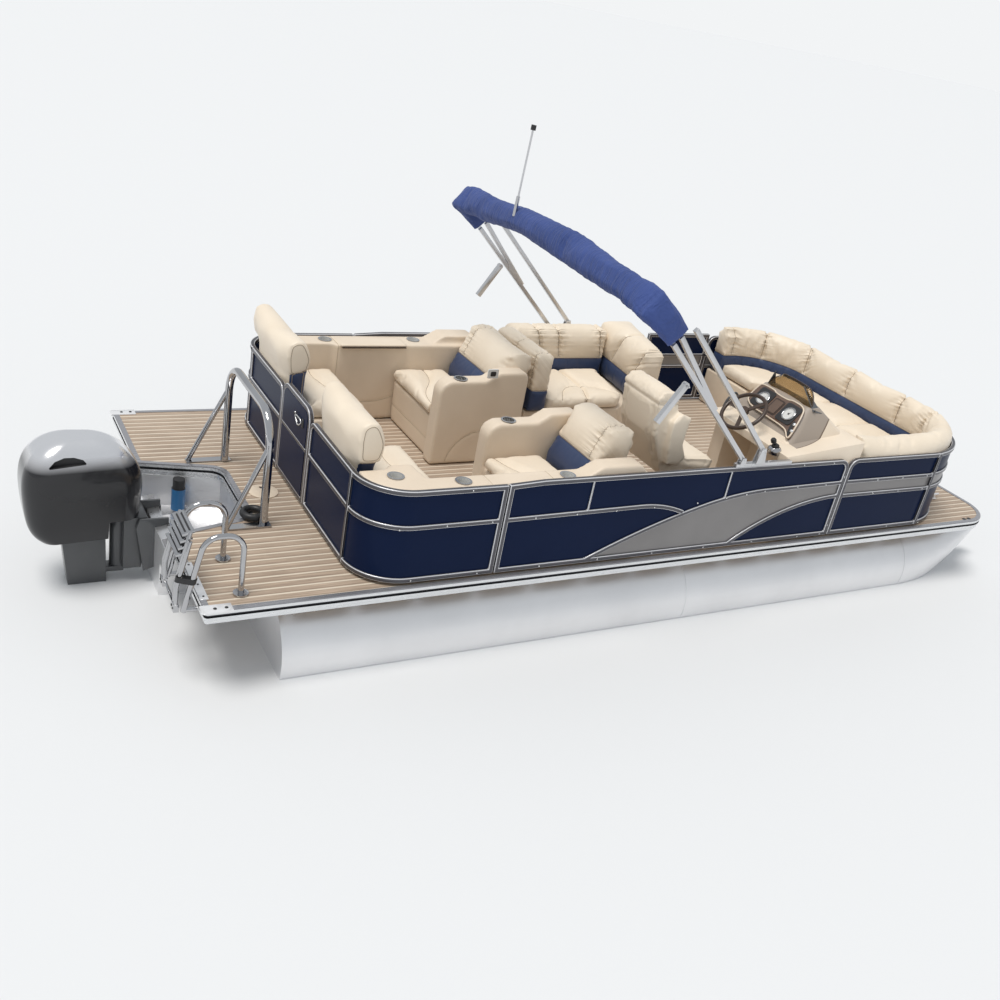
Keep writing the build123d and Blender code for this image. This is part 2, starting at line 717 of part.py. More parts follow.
def build_cowl():
    # z, aft x, forward x, half width aft, half width forward, corner
    levels = [(-190, -640, -150, 165, 125, 85), (-60, -712, -80, 200, 140, 110),
              (120, -732, -66, 214, 150, 125), (265, -716, -100, 205, 148, 120),
              (352, -668, -168, 176, 130, 105), (408, -598, -245, 128, 96, 80),
              (436, -520, -325, 72, 56, 48)]
    cowl = loft([cowl_ring(*level) for level in levels])
    cowl -= block((-268, 100), (-300, 300), (-300, -70))
    intake = side_shape([(-606, 308), (-392, 320), (-414, 346), (-462, 362), (-515, 364), (-566, 348)],
                        (146, 260), 6)
    for recess in both_sides(intake):
        cowl -= recess
    save("engine_cowl", cowl)


def build_engine():
    plates = side_shape([(-90, -84), (80, -84), (80, -126), (72, -126), (0, -138), (0, -420), (-60, -440),
                         (-110, -140)], (110, 128))
    plates += side_shape([(71, -125), (86, -125), (86, -290), (71, -290)], (110, 160))
    clamps = both_sides(plates)
    pin = rod((tilt_axis[0], -128, tilt_axis[1]), (tilt_axis[0], 128, tilt_axis[1]), 16)
    save("engine_bracket", clamps[0] + clamps[1] + pin)
    swivel = side_shape([(-175, -430), (-70, -430), (-26, -110), (-40, -84), (-175, -84)], (-98, 98))
    swivel += Pos(steer_x, 0, -260) * Cylinder(50, 352)
    bore = rod((tilt_axis[0], -200, tilt_axis[1]), (tilt_axis[0], 200, tilt_axis[1]), 18)
    save("engine_swivel", swivel - bore)
    build_cowl()
    leg = side_shape([(-520, -192), (-272, -192), (-262, -600), (-280, -640), (-470, -640), (-480, -560)],
                     (-62, 62))
    leg += block((-275, -160), (-40, 40), (-478, -442))
    plate = block((-700, -230), (-95, 95), (-648, -636))
    strut = side_shape([(-500, -640), (-290, -640), (-330, -840), (-520, -840)], (-28, 28))
    gearcase = rod((-600, 0, propeller_z), (-180, 0, propeller_z), 56)
    gearcase += Pos(-180, 0, propeller_z) * Sphere(56)
    skeg = side_shape([(-560, -900), (-330, -900), (-480, -1070), (-560, -1070)], (-7, 7))
    save("engine_lower_unit", leg + plate + strut + gearcase + skeg)
    hub = rod((-606, 0, propeller_z), (-726, 0, propeller_z), 54)
    for turn in (0, 120, 240):
        blade = Pos(0, 118, 0) * Rot(0, 32, 0) * extrude(Ellipse(62, 76), amount=5, both=True)
        hub += Plane(origin=(-660, 0, propeller_z), z_dir=(-1, 0, 0)) * Rot(0, 0, turn) * blade
    save("propeller", hub)


def boot_section(x, y, z, length, thickness, lean, turn):
    # one level of the folded canopy's cover: lean is its long axis from upright, and turn is how far
    # its line has swung from athwartships to along the leg, both in degrees
    rise = sin(radians(turn)) * (1 if y < 0 else -1)
    along = (rise * frame_line[0], cos(radians(turn)), rise * frame_line[1])
    long_axis = (sin(radians(lean)), 0, cos(radians(lean)))
    plane = Plane(origin=(x, y, z), x_dir=long_axis, z_dir=along)
    return plane * RectangleRounded(length, thickness, min(length, thickness) * 0.38)


def boot_shape():
    # x, distance off the centreline, z, length, thickness, lean, turn
    half = [(2661, 1250, 1491, 190, 84, 43.8, 90), (2545, 1250, 1592, 208, 108, 43.8, 88),
            (2425, 1215, 1684, 233, 127, 40, 62), (2438, 1108, 1690, 238, 137, 30, 28),
            (2448, 800, 1702, 243, 147, 16, 10), (2429, 300, 1746, 233, 149, 14, 4)]
    rings = [boot_section(x, -y, z, *rest) for x, y, z, *rest in half]
    rings += [boot_section(x, y, z, *rest) for x, y, z, *rest in reversed(half)]
    return loft(rings, ruled=True)


def eye(centre, y, radius, bore):
    axis = Pos(centre[0], (y[0] + y[1]) / 2, centre[1]) * Rot(90, 0, 0)
    return axis * (Cylinder(radius, y[1] - y[0]) - Cylinder(bore, y[1] - y[0]))


def pivoted_bar(foot, tip, y, size, bore=6.4):
    # a square tube whose foot ends in a round eye
    width = (y - size / 2, y + size / 2)
    bar = square_bar((foot[0], y, foot[1]), (tip[0], y, tip[1]), size, size)
    hole = rod((foot[0], width[0] - 5, foot[1]), (foot[0], width[1] + 5, foot[1]), size * 0.56)
    return (bar - hole) + eye(foot, width, size * 0.56, bore)


def build_canopy():
    boot = boot_shape()
    y, half = canopy_y, frame_tube / 2
    bar = block((3400, 3890), (y - 15, y + 15), (622, 644))
    for low in (y - half - 6, y + half + 1):
        ears = side_shape([(3560, 640), (3640, 640), (3618, 749), (3582, 749)], (low, low + 5))
        ears += side_shape([(3425, 640), (3475, 640), (3465, 686), (3435, 686)], (low, low + 5))
        bar += ears + block((3425, 3640), sorted((low, y)), (632, 644))
    for x, z in (canopy_foot, brace_foot):
        bar += rod((x, y - half - 9, z), (x, y + half + 9, z), 6)
    leg = pivoted_bar(canopy_foot, (2584, 1503), y, frame_tube)
    upper = square_bar((3090, y, 1035), (2632, y, 1552), frame_tube, frame_tube)
    frame = ((leg + upper) - boot).solids().sort_by(SortBy.VOLUME)[-1]
    strut_pin = rod((strut_top[0], y - 58, strut_top[1]), (strut_top[0], y, strut_top[1]), 6)
    brace = pivoted_bar(brace_foot, (2772, 1548), y, frame_tube)
    strut = pivoted_bar(strut_top, (2690, 945), y - 38, 34)
    save("canopy_bases", *both_sides(bar))
    save("canopy_frame", *both_sides(frame + strut_pin))
    save("canopy_boot", boot)
    save("canopy_braces", *both_sides(brace))
    save("canopy_struts", *both_sides(strut))
    pole = rod((2354, 320, 1775), (2378, 320, 2330), 7) + rod((2378, 320, 2330), (2380, 320, 2362), 17)
    pole += rod((2354, 320, 1775), (2360, 320, 1905), 13)
    save("stern_light", pole - boot)


def build_cleat(x, y):
    cleat = block((x - 38, x + 38), (y - 14, y + 14), (4, 12))
    for post in (x - 20, x + 20):
        cleat += rod((post, y, 10), (post, y, 44), 8)
    return cleat + rod((x - 60, y, 44), (x + 60, y, 44), 9)


def build_fittings():
    disc = Pos(685, -29, 0) * Cylinder(94, 8, align=(Align.CENTER, Align.CENTER, Align.MIN))
    for dy in (-55, 55):
        disc -= Pos(685, -29 + dy, 0) * Cylinder(13, 30)
    save("deck_plate", disc)
    ring = Pos(528, -338, 28) * Torus(60, 22)
    can = Pos(245, 338, -203) * Cylinder(44, 150) + Pos(245, 338, -95) * Cylinder(38, 66)
    can += block((230, 260), (338, 420), (-110, -80)) & plan_shape(well_outline(4), (-290, 0))
    save("well_fittings", ring, can)
    save("bow_cleats", *[build_cleat(6050, y) for y in (-900, 900)])


os.makedirs("parts", exist_ok=True)
build_deck()
build_deck_trim()
build_floats()
build_tow_eyes()
build_cross_channels()
build_motor_pod()
build_fence_rails()
build_fence_panels()
build_gates()
build_stern_seats()
build_loungers()
build_side_consoles()
build_bench()
build_bow_bench()
build_helm()
build_chair()
build_tow_bar()
build_boarding()
build_engine()
build_canopy()
build_fittings()
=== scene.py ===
import json
import math

import bmesh
import bpy
import numpy as np
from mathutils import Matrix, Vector, noise
from mathutils.bvhtree import BVHTree

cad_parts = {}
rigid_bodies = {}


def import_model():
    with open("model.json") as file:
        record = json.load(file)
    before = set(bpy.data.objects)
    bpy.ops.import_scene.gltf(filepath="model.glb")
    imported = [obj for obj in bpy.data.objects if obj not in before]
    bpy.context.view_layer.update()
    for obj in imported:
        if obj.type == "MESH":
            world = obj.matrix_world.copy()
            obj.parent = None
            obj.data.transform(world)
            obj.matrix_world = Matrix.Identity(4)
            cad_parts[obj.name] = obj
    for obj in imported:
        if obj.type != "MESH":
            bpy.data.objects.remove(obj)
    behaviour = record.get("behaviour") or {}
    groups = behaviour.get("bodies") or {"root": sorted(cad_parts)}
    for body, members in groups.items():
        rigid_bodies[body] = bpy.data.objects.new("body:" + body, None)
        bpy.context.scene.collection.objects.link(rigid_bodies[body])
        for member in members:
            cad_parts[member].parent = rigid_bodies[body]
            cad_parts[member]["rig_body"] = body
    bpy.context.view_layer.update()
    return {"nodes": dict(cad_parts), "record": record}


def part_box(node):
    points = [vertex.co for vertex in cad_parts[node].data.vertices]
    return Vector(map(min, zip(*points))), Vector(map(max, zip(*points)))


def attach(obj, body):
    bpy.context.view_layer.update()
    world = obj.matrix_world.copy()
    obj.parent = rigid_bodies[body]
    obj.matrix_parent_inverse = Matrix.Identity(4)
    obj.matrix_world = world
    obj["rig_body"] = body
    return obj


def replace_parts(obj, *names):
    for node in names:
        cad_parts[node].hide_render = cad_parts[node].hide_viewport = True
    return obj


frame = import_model()
print("frame loaded:", len(frame["nodes"]), "nodes")

deckLow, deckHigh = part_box("deck")
sternX = deckLow.x - 0.014      # the deck's stern edge
deckZ = deckHigh.z              # the deck's top above the water


def at(x, y, z):
    # a place given from the stern edge, the centreline and the deck's top
    return Vector((x + sternX, y, z + deckZ))


# Camera, floor and light

camera = {"place": (-4.490, -5.825, 3.669), "turn": (63.81, -10.17, -28.01), "lens": 37.955, "sensor": 36,
          "reach": 2000}
light = {"sky": 0.64, "skyColour": (0.92, 0.96, 1, 1), "sun": 1.34, "sunColour": (1, 0.97, 0.93),
         "sunTurn": (4, -18, 0), "sunSpread": 24, "floor": (0.73, 0.74, 0.75), "floorHalf": 400,
         "backdrop": (0.89, 0.905, 0.915, 1)}


def intoScene(name, data):
    thing = bpy.data.objects.new(name, data)
    bpy.context.scene.collection.objects.link(thing)
    return thing


def buildCamera():
    data = bpy.data.cameras.new("photoCamera")
    data.lens, data.sensor_width, data.clip_end = camera["lens"], camera["sensor"], camera["reach"]
    eye = intoScene("photoCamera", data)
    eye.location = camera["place"]
    eye.rotation_euler = [math.radians(a) for a in camera["turn"]]
    bpy.context.scene.camera = eye


def addNode(tree, kind, entries=None, **settings):
    # a node with its settings; an entry is a value, or an output that gets linked to it
    node = tree.nodes.new(kind)
    for name, value in settings.items():
        setattr(node, name, value)
    for name, value in (entries or {}).items():
        if isinstance(value, bpy.types.NodeSocket):
            tree.links.new(value, node.inputs[name])
        else:
            node.inputs[name].default_value = value
    return node


def flow(tree, kind, entries=None, output=0, **settings):
    return addNode(tree, kind, entries, **settings).outputs[output]


def give(tree, end, **sources):
    for label, source in sources.items():
        tree.links.new(source, end.inputs[label.replace("_", " ")])


def buildLight():
    world = bpy.data.worlds.new("studio")
    bpy.context.scene.world = world
    world.use_nodes = True
    tree = world.node_tree
    tree.nodes.clear()
    rays = addNode(tree, "ShaderNodeLightPath").outputs
    seen = flow(tree, "ShaderNodeMath", {0: rays["Is Camera Ray"], 1: rays["Is Transmission Ray"]},
                operation="MAXIMUM")
    sky = flow(tree, "ShaderNodeBackground", {"Color": light["skyColour"], "Strength": light["sky"]})
    pale = flow(tree, "ShaderNodeBackground", {"Color": light["backdrop"], "Strength": 1})
    addNode(tree, "ShaderNodeOutputWorld", {0: flow(tree, "ShaderNodeMixShader", {0: seen, 1: sky, 2: pale})})
    lamp = bpy.data.lights.new("softSun", "SUN")
    lamp.energy = light["sun"] * math.pi / 2
    lamp.angle = math.radians(light["sunSpread"])
    lamp.color = light["sunColour"]
    intoScene("softSun", lamp).rotation_euler = [math.radians(a) for a in light["sunTurn"]]
    bpy.context.scene.view_settings.view_transform = "Standard"


def startFinish(name, metallic=0.0, roughness=0.5, **more):
    material = bpy.data.materials.new(name)
    material.use_nodes = True
    shader = material.node_tree.nodes["Principled BSDF"]
    for label, value in ({"Metallic": metallic, "Roughness": roughness} | more).items():
        shader.inputs[label.replace("_", " ")].default_value = value
    return material, material.node_tree, shader


def buildFloor():
    half = light["floorHalf"]
    mesh = bpy.data.meshes.new("water")
    mesh.from_pydata([(-half, -half, 0), (half, -half, 0), (half, half, 0), (-half, half, 0)], [], [(0, 1, 2, 3)])
    mesh.materials.append(startFinish("floorPale", 0, 0.9, Base_Color=(*light["floor"], 1))[0])
    intoScene("floor", mesh)


buildCamera()
buildLight()
buildFloor()
print("camera, light and floor are set")


# Effects that several finishes share, each a node group with its own sizes

def objectPlace(tree):
    return flow(tree, "ShaderNodeTexCoord", None, "Object")


def axesOf(tree):
    return addNode(tree, "ShaderNodeSeparateXYZ", {0: objectPlace(tree)}).outputs


def calc(tree, operation, *values):
    return flow(tree, "ShaderNodeMath", dict(enumerate(values)), operation=operation)


def span(tree, value, **ends):
    # a value mapped from one range to another; the ends are From_Min, From_Max, To_Min and To_Max
    return flow(tree, "ShaderNodeMapRange", {"Value": value} | {label.replace("_", " "): end
                                                               for label, end in ends.items()})


def blend(tree, factor, under, over, **settings):
    colours = [(*colour, 1) if isinstance(colour, tuple) else colour for colour in (under, over)]
    return flow(tree, "ShaderNodeMix", {"Factor": factor, "A": colours[0], "B": colours[1]}, "Result",
                data_type="RGBA", **settings)


def bump(tree, height, distance, strength=1.0, **more):
    return flow(tree, "ShaderNodeBump", {"Height": height, "Distance": distance, "Strength": strength} | more,
                "Normal")


def newGroup(name, entries, outputs):
    group = bpy.data.node_groups.new(name, "ShaderNodeTree")
    for label, value in entries.items():
        group.interface.new_socket(label, in_out="INPUT", socket_type="NodeSocketFloat").default_value = value
    for label in outputs:
        group.interface.new_socket(label, in_out="OUTPUT", socket_type="NodeSocketFloat")
    return group, group.nodes.new("NodeGroupInput").outputs, group.nodes.new("NodeGroupOutput")


def scaledPlace(tree, start, stretch=(1, 1, 1)):
    # object coordinates times the group's Scale, drawn out along some axes
    drawn = flow(tree, "ShaderNodeVectorMath", {0: objectPlace(tree), 1: stretch}, operation="MULTIPLY")
    return flow(tree, "ShaderNodeVectorMath", {0: drawn, "Scale": start["Scale"]}, operation="SCALE")


def noiseGroup(name, scale, stretch, detail, rough):
    # a mottled mask from 0 to 1 about a half
    group, start, end = newGroup(name, {"Scale": scale, "Amount": 1.0}, ["Mask"])
    field = flow(group, "ShaderNodeTexNoise", {"Vector": scaledPlace(group, start, stretch), "Scale": 1.0,
                                               "Detail": detail, "Roughness": rough}, "Fac")
    give(group, end, Mask=span(group, field, From_Min=0.3, From_Max=0.7, To_Min=0.0, To_Max=start["Amount"]))
    return group


def leatherGroup():
    # pebbled vinyl: small cells, softer wrinkles over them
    group, start, end = newGroup("pebbledGrain", {"Scale": 260.0, "Wrinkle": 0.5}, ["Height", "Mask"])
    place = scaledPlace(group, start)
    cells = flow(group, "ShaderNodeTexVoronoi", {"Vector": place, "Scale": 1.0}, "Distance",
                 feature="DISTANCE_TO_EDGE")
    soft = flow(group, "ShaderNodeTexNoise", {"Vector": place, "Scale": 0.05, "Detail": 4.0, "Distortion": 0.6},
                "Fac")
    give(group, end, Height=calc(group, "ADD", cells, calc(group, "MULTIPLY", soft, start["Wrinkle"])), Mask=soft)
    return group


def weaveGroup():
    # plain-woven canvas: two crossing sets of threads
    group, start, end = newGroup("canvasWeave", {"Scale": 420.0}, ["Height"])
    place = scaledPlace(group, start)
    threads = [flow(group, "ShaderNodeTexWave", {"Vector": place, "Scale": 1.0, "Distortion": 0.4}, "Fac",
                    bands_direction=way) for way in "YZ"]
    give(group, end, Height=calc(group, "MULTIPLY", *threads))
    return group


groups = {
    "mottle": noiseGroup("slowMottle", 1.6, (1, 1, 1), 5.0, 0.55),
    "speckle": noiseGroup("fineSpeckle", 220.0, (1, 1, 1), 3.0, 0.6),
    "drawnX": noiseGroup("lengthwiseBrushing", 60.0, (0.03, 1, 1), 4.0, 0.6),
    "drawnZ": noiseGroup("uprightBrushing", 60.0, (1, 1, 0.03), 4.0, 0.6),
    "leather": leatherGroup(),
    "weave": weaveGroup(),
}


def useGroup(tree, key, **values):
    return addNode(tree, "ShaderNodeGroup", values, node_tree=groups[key]).outputs


def mottled(tree, low, high, **values):
    return blend(tree, useGroup(tree, "mottle", **values)["Mask"], low, high)


def metalFinish(name, low, high, rough, brushing="drawnX", metallic=0.9, scale=60.0):
    material, tree, shader = startFinish(name, metallic, rough[0])
    brushed = useGroup(tree, brushing, Scale=scale)["Mask"]
    give(tree, shader, Base_Color=mottled(tree, low, high), Normal=bump(tree, brushed, 0.00003, 0.5),
         Roughness=span(tree, brushed, To_Min=rough[0], To_Max=rough[1]))
    return material


def paintFinish(name, low, high, rough, coat=0.6, metallic=0.0, depth=0.00006, gloss=0.5):
    material, tree, shader = startFinish(name, metallic, rough[0], Coat_Weight=coat, Coat_Roughness=0.06,
                                         Specular_IOR_Level=gloss)
    mottle = useGroup(tree, "mottle")["Mask"]
    fine = useGroup(tree, "speckle", Scale=260.0)["Mask"]
    give(tree, shader, Base_Color=blend(tree, mottle, low, high), Normal=bump(tree, fine, depth),
         Roughness=span(tree, mottle, To_Min=rough[0], To_Max=rough[1]))
    return material


def vinylFinish(name, low, high, rough=(0.38, 0.52)):
    # pebbled vinyl; a piece's "tuck" attribute gathers it into small folds beside the seams
    material, tree, shader = startFinish(name, 0, rough[0], Sheen_Weight=0.08)
    grain = useGroup(tree, "leather", Scale=260.0, Wrinkle=0.6)
    near, along = [flow(tree, "ShaderNodeAttribute", None, "Fac", attribute_name=label) for label in ("tuck", "along")]
    folds = flow(tree, "ShaderNodeTexNoise", {"W": along, "Scale": 34.0, "Detail": 1.5}, "Fac", noise_dimensions="1D")
    gathered = bump(tree, calc(tree, "MULTIPLY", folds, near), 0.011)
    give(tree, shader, Base_Color=mottled(tree, low, high, Scale=3.0),
         Roughness=span(tree, grain["Mask"], To_Min=rough[0], To_Max=rough[1]),
         Normal=bump(tree, grain["Height"], 0.0004, 0.6, Normal=gathered))
    return material


def canvasFinish(name, low, high):
    # woven canvas, crumpled across its length
    material, tree, shader = startFinish(name, 0, 0.8, Sheen_Weight=0.08, Sheen_Roughness=0.5,
                                         Specular_IOR_Level=0.25)
    drawn = flow(tree, "ShaderNodeMapping", {"Vector": objectPlace(tree), "Scale": (0.8, 3.4, 0.8)})
    crumple = flow(tree, "ShaderNodeTexNoise", {"Vector": drawn, "Scale": 9.0, "Detail": 5.0, "Distortion": 1.2}, "Fac")
    weave = useGroup(tree, "weave", Scale=420.0)["Height"]
    give(tree, shader, Base_Color=mottled(tree, low, high, Scale=4.0),
         Normal=bump(tree, weave, 0.0003, 0.5, Normal=bump(tree, crumple, 0.022, 0.85)))
    return material


def deckFinish(name):
    # boards run fore and aft: a tan field, a thin pale line, and a darker shade beside it
    plank = {"pitch": 0.060, "line": 0.16, "tan": (0.370, 0.280, 0.208), "worn": (0.445, 0.345, 0.262),
             "pale": (0.70, 0.62, 0.50), "shade": (0.23, 0.165, 0.120)}
    material, tree, shader = startFinish(name, 0, 0.62)
    phase = calc(tree, "FRACT", calc(tree, "DIVIDE", axesOf(tree)["Y"], plank["pitch"]))
    ramp = addNode(tree, "ShaderNodeValToRGB", {"Fac": phase})
    for element in ramp.color_ramp.elements:
        element.color = (1, 1, 1, 1)
    for spot, level in ((plank["line"], 1.0), (plank["line"] + 0.06, 0.0), (0.5, 0.35), (0.94, 0.42)):
        ramp.color_ramp.elements.new(spot).color = (level, level, level, 1)
    line = ramp.outputs["Color"]
    grained = blend(tree, 0.3, mottled(tree, plank["tan"], plank["worn"], Scale=2.5),
                    useGroup(tree, "drawnX", Scale=140.0)["Mask"], blend_type="OVERLAY")
    shaded = blend(tree, span(tree, line, From_Min=0.0, From_Max=0.35, To_Min=0.55, To_Max=0.0), grained,
                   plank["shade"])
    lined = blend(tree, span(tree, line, From_Min=0.5, From_Max=1.0, To_Min=0.0, To_Max=1.0), shaded, plank["pale"])
    give(tree, shader, Base_Color=lined, Normal=bump(tree, line, 0.0012, 0.6))
    return material


def woodFinish(name):
    material, tree, shader = startFinish(name, 0, 0.22, Coat_Weight=0.8, Coat_Roughness=0.04)
    drawn = flow(tree, "ShaderNodeMapping", {"Vector": objectPlace(tree), "Scale": (9.0, 1.2, 9.0)})
    burl = flow(tree, "ShaderNodeTexNoise", {"Vector": drawn, "Scale": 3.0, "Detail": 6.0, "Distortion": 1.6}, "Fac")
    give(tree, shader, Base_Color=blend(tree, burl, (0.050, 0.026, 0.018), (0.190, 0.110, 0.070)),
         Normal=bump(tree, burl, 0.0002))
    return material


def tintFinish(name):
    material, tree, shader = startFinish(name, 0, 0.04, Transmission_Weight=0.92, IOR=1.2)
    haze = useGroup(tree, "mottle", Scale=5.0)["Mask"]
    give(tree, shader, Base_Color=blend(tree, haze, (0.34, 0.245, 0.135), (0.42, 0.305, 0.170)),
         Normal=bump(tree, haze, 0.0005, 0.3))
    return material


def openFinish(material):
    # the parts of a finish that more colour is laid over: its tree, its shader, the place's axes, its colour
    tree = material.node_tree
    shader = tree.nodes["Principled BSDF"]
    return tree, shader, axesOf(tree), shader.inputs["Base Color"].links[0].from_socket


def trimFinish(name):
    # bright edge extrusion; the groove between its lip and its bead is painted near-black as painted shade, and the
    # lip's top is a darker grey
    groove = {"low": deckZ - 0.0372, "high": deckZ - 0.0208, "lip": deckZ - 0.003, "dark": (0.03, 0.03, 0.035),
              "top": (0.36, 0.36, 0.38)}
    material = metalFinish(name, (0.74, 0.75, 0.76), (0.84, 0.85, 0.86), (0.20, 0.34), metallic=0.6)
    tree, shader, axes, tone = openFinish(material)
    inside = calc(tree, "MULTIPLY", calc(tree, "GREATER_THAN", axes["Z"], groove["low"]),
                  calc(tree, "LESS_THAN", axes["Z"], groove["high"]))
    brushed = blend(tree, calc(tree, "GREATER_THAN", axes["Z"], groove["lip"]), tone, groove["top"])
    # painted shade: the band between the groove's low and high edges is laid over near-black
    give(tree, shader, Base_Color=blend(tree, inside, brushed, groove["dark"]))
    return material


def consoleFinish(name):
    # cream, with a taupe inset beside the dash inside a sewn arc, whose line is painted dark brown as painted shade
    # along the seam
    inset = {"middle": (4.004 + sternX, -0.440, 0.0), "radius": 0.696, "aft": 4.035 + sternX, "low": deckZ + 0.645,
             "tone": (0.345, 0.290, 0.240), "sewn": (0.16, 0.115, 0.08), "half": 0.0035}
    material = vinylFinish(name, (0.740, 0.625, 0.490), (0.800, 0.690, 0.555), (0.40, 0.54))
    tree, shader, axes, tone = openFinish(material)
    plan = flow(tree, "ShaderNodeCombineXYZ", {"X": axes["X"], "Y": axes["Y"]})
    reach = flow(tree, "ShaderNodeVectorMath", {0: plan, 1: inset["middle"]}, "Value", operation="DISTANCE")
    beside = calc(tree, "MULTIPLY", calc(tree, "GREATER_THAN", axes["X"], inset["aft"]),
                  calc(tree, "GREATER_THAN", axes["Z"], inset["low"]))
    near = calc(tree, "LESS_THAN", reach, inset["radius"])
    ring = calc(tree, "COMPARE", reach, inset["radius"], inset["half"])
    taupe = blend(tree, calc(tree, "MULTIPLY", beside, near), tone, inset["tone"])
    give(tree, shader, Base_Color=blend(tree, calc(tree, "MULTIPLY", beside, ring), taupe, inset["sewn"]))
    return material


def cowlFinish(name):
    # gloss black sides under a pale metallic crown, with a soft line between them; the crown's pale tone, rising with
    # height, is a painted sky reflection on the cowl's top
    crown = {"low": deckZ + 0.276, "high": deckZ + 0.356, "tone": (0.78, 0.78, 0.80), "metallic": 0.85}
    material = paintFinish(name, (0.010, 0.010, 0.012), (0.016, 0.016, 0.018), (0.12, 0.20), 0.35, gloss=0.35)
    tree, shader, axes, tone = openFinish(material)
    rise = span(tree, axes["Z"], From_Min=crown["low"], From_Max=crown["high"])
    # painted reflection: colour and metal turn pale towards the top, where the sky would reflect
    give(tree, shader, Base_Color=blend(tree, rise, tone, crown["tone"]),
         Metallic=span(tree, rise, To_Min=0.0, To_Max=crown["metallic"]))
    return material


looks = {
    # slot: kind of finish, darker tone, lighter tone, roughness from and to, other settings
    "hull_aluminium": (metalFinish, (0.80, 0.80, 0.81), (0.88, 0.88, 0.89), (0.36, 0.50), {"scale": 30.0}),
    "rail_pewter": (metalFinish, (0.085, 0.083, 0.092), (0.115, 0.112, 0.124), (0.30, 0.38), {"metallic": 0.6}),
    # painted highlight: the bright finish laid on the rails' rounded corners
    "rail_edge": (metalFinish, (0.58, 0.58, 0.60), (0.68, 0.68, 0.70), (0.2, 0.3), {"metallic": 0.3}),
    "trim_bright": (metalFinish, (0.80, 0.80, 0.81), (0.88, 0.88, 0.89), (0.16, 0.26), {"metallic": 0.4}),
    "bright_head": (metalFinish, (0.72, 0.72, 0.72), (0.80, 0.80, 0.80), (0.2, 0.3), {}),
    "frame_silver": (metalFinish, (0.58, 0.58, 0.59), (0.68, 0.68, 0.69), (0.26, 0.34), {"brushing": "drawnZ"}),
    "stainless": (metalFinish, (0.42, 0.42, 0.43), (0.52, 0.52, 0.53), (0.06, 0.12),
                  {"brushing": "drawnZ", "metallic": 1.0, "scale": 90.0}),
    "propeller_steel": (metalFinish, (0.55, 0.55, 0.56), (0.68, 0.68, 0.69), (0.12, 0.22), {}),
    "panel_navy": (paintFinish, (0.0035, 0.0105, 0.040), (0.0045, 0.0125, 0.046), (0.30, 0.33),
                   {"coat": 0.0, "gloss": 0.08}),
    "panel_taupe": (paintFinish, (0.205, 0.195, 0.192), (0.255, 0.243, 0.238), (0.30, 0.4),
                    {"coat": 0.1, "metallic": 0.2}),
    "engine_grey": (paintFinish, (0.055, 0.058, 0.062), (0.085, 0.088, 0.092), (0.3, 0.42), {"coat": 0.4}),
    "wheel_brown": (paintFinish, (0.030, 0.016, 0.010), (0.055, 0.030, 0.018), (0.35, 0.5), {"coat": 0.2}),
    "pod_brown": (paintFinish, (0.115, 0.072, 0.050), (0.150, 0.098, 0.070), (0.3, 0.4), {"coat": 0.2}),
    "black_plastic": (paintFinish, (0.014, 0.014, 0.015), (0.026, 0.026, 0.028), (0.4, 0.55),
                      {"coat": 0.0, "depth": 0.0002}),
    # painted shade: a darker tone for the boards' welts, so the seams read as shaded lines
    "stitch": (paintFinish, (0.50, 0.42, 0.31), (0.58, 0.49, 0.37), (0.6, 0.7), {"coat": 0.0}),
    "seam_shadow": (paintFinish, (0.34, 0.27, 0.195), (0.40, 0.32, 0.235), (0.6, 0.7), {"coat": 0.0}),
    "dial_pale": (paintFinish, (0.62, 0.62, 0.60), (0.70, 0.70, 0.68), (0.3, 0.4), {"coat": 0.4}),
    "filter_blue": (paintFinish, (0.012, 0.115, 0.29), (0.020, 0.150, 0.35), (0.3, 0.4), {"coat": 0.3}),
    "vinyl_cream": (vinylFinish, (0.775, 0.665, 0.525), (0.835, 0.730, 0.590), (0.38, 0.52), {}),
    "base_cream": (vinylFinish, (0.700, 0.585, 0.455), (0.765, 0.650, 0.515), (0.42, 0.56), {}),
    "vinyl_navy": (vinylFinish, (0.020, 0.038, 0.098), (0.030, 0.053, 0.128), (0.34, 0.46), {}),
}
finishes = {
    "canvas_navy": canvasFinish("canvasNavy", (0.042, 0.072, 0.225), (0.058, 0.094, 0.285)),
    "deck_teak": deckFinish("deckTeak"), "trim_aluminium": trimFinish("trimAluminium"),
    "dash_wood": woodFinish("dashWood"), "screen_tint": tintFinish("screenTint"),
    "engine_black": cowlFinish("engineBlack"), "helm_cream": consoleFinish("helmCream"),
}
for slot, (make, low, high, rough, more) in looks.items():
    first, *rest = slot.split("_")
    finishes[slot] = make(first + "".join(word.capitalize() for word in rest), low, high, rough, **more)
print("finishes made:", len(finishes))


def dressNodes():
    # every carried-over solid takes the finish of its slot
    for part in frame["record"]["subparts"]:
        node = frame["nodes"][part["node"]]
        node.data.materials.clear()
        node.data.materials.append(finishes[part["material_slot"]])


dressNodes()


# Making pieces: copies of solids, plain meshes from modifiers, and repeats by Geometry Nodes

def newPiece(name, mesh):
    return intoScene(name, mesh)


def meshOf(name, verts, edges=(), faces=()):
    mesh = bpy.data.meshes.new(name)
    mesh.from_pydata([tuple(v) for v in verts], list(edges), list(faces))
    return mesh


def settle(piece):
    # turns a piece's modifiers into its own plain mesh
    graph = bpy.context.evaluated_depsgraph_get()
    mesh = bpy.data.meshes.new_from_object(piece.evaluated_get(graph))
    piece.modifiers.clear()
    piece.data = mesh
    return piece


def fit(piece, body, slot, *nodes):
    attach(piece, body)
    if nodes:
        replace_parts(piece, *nodes)
    return piece


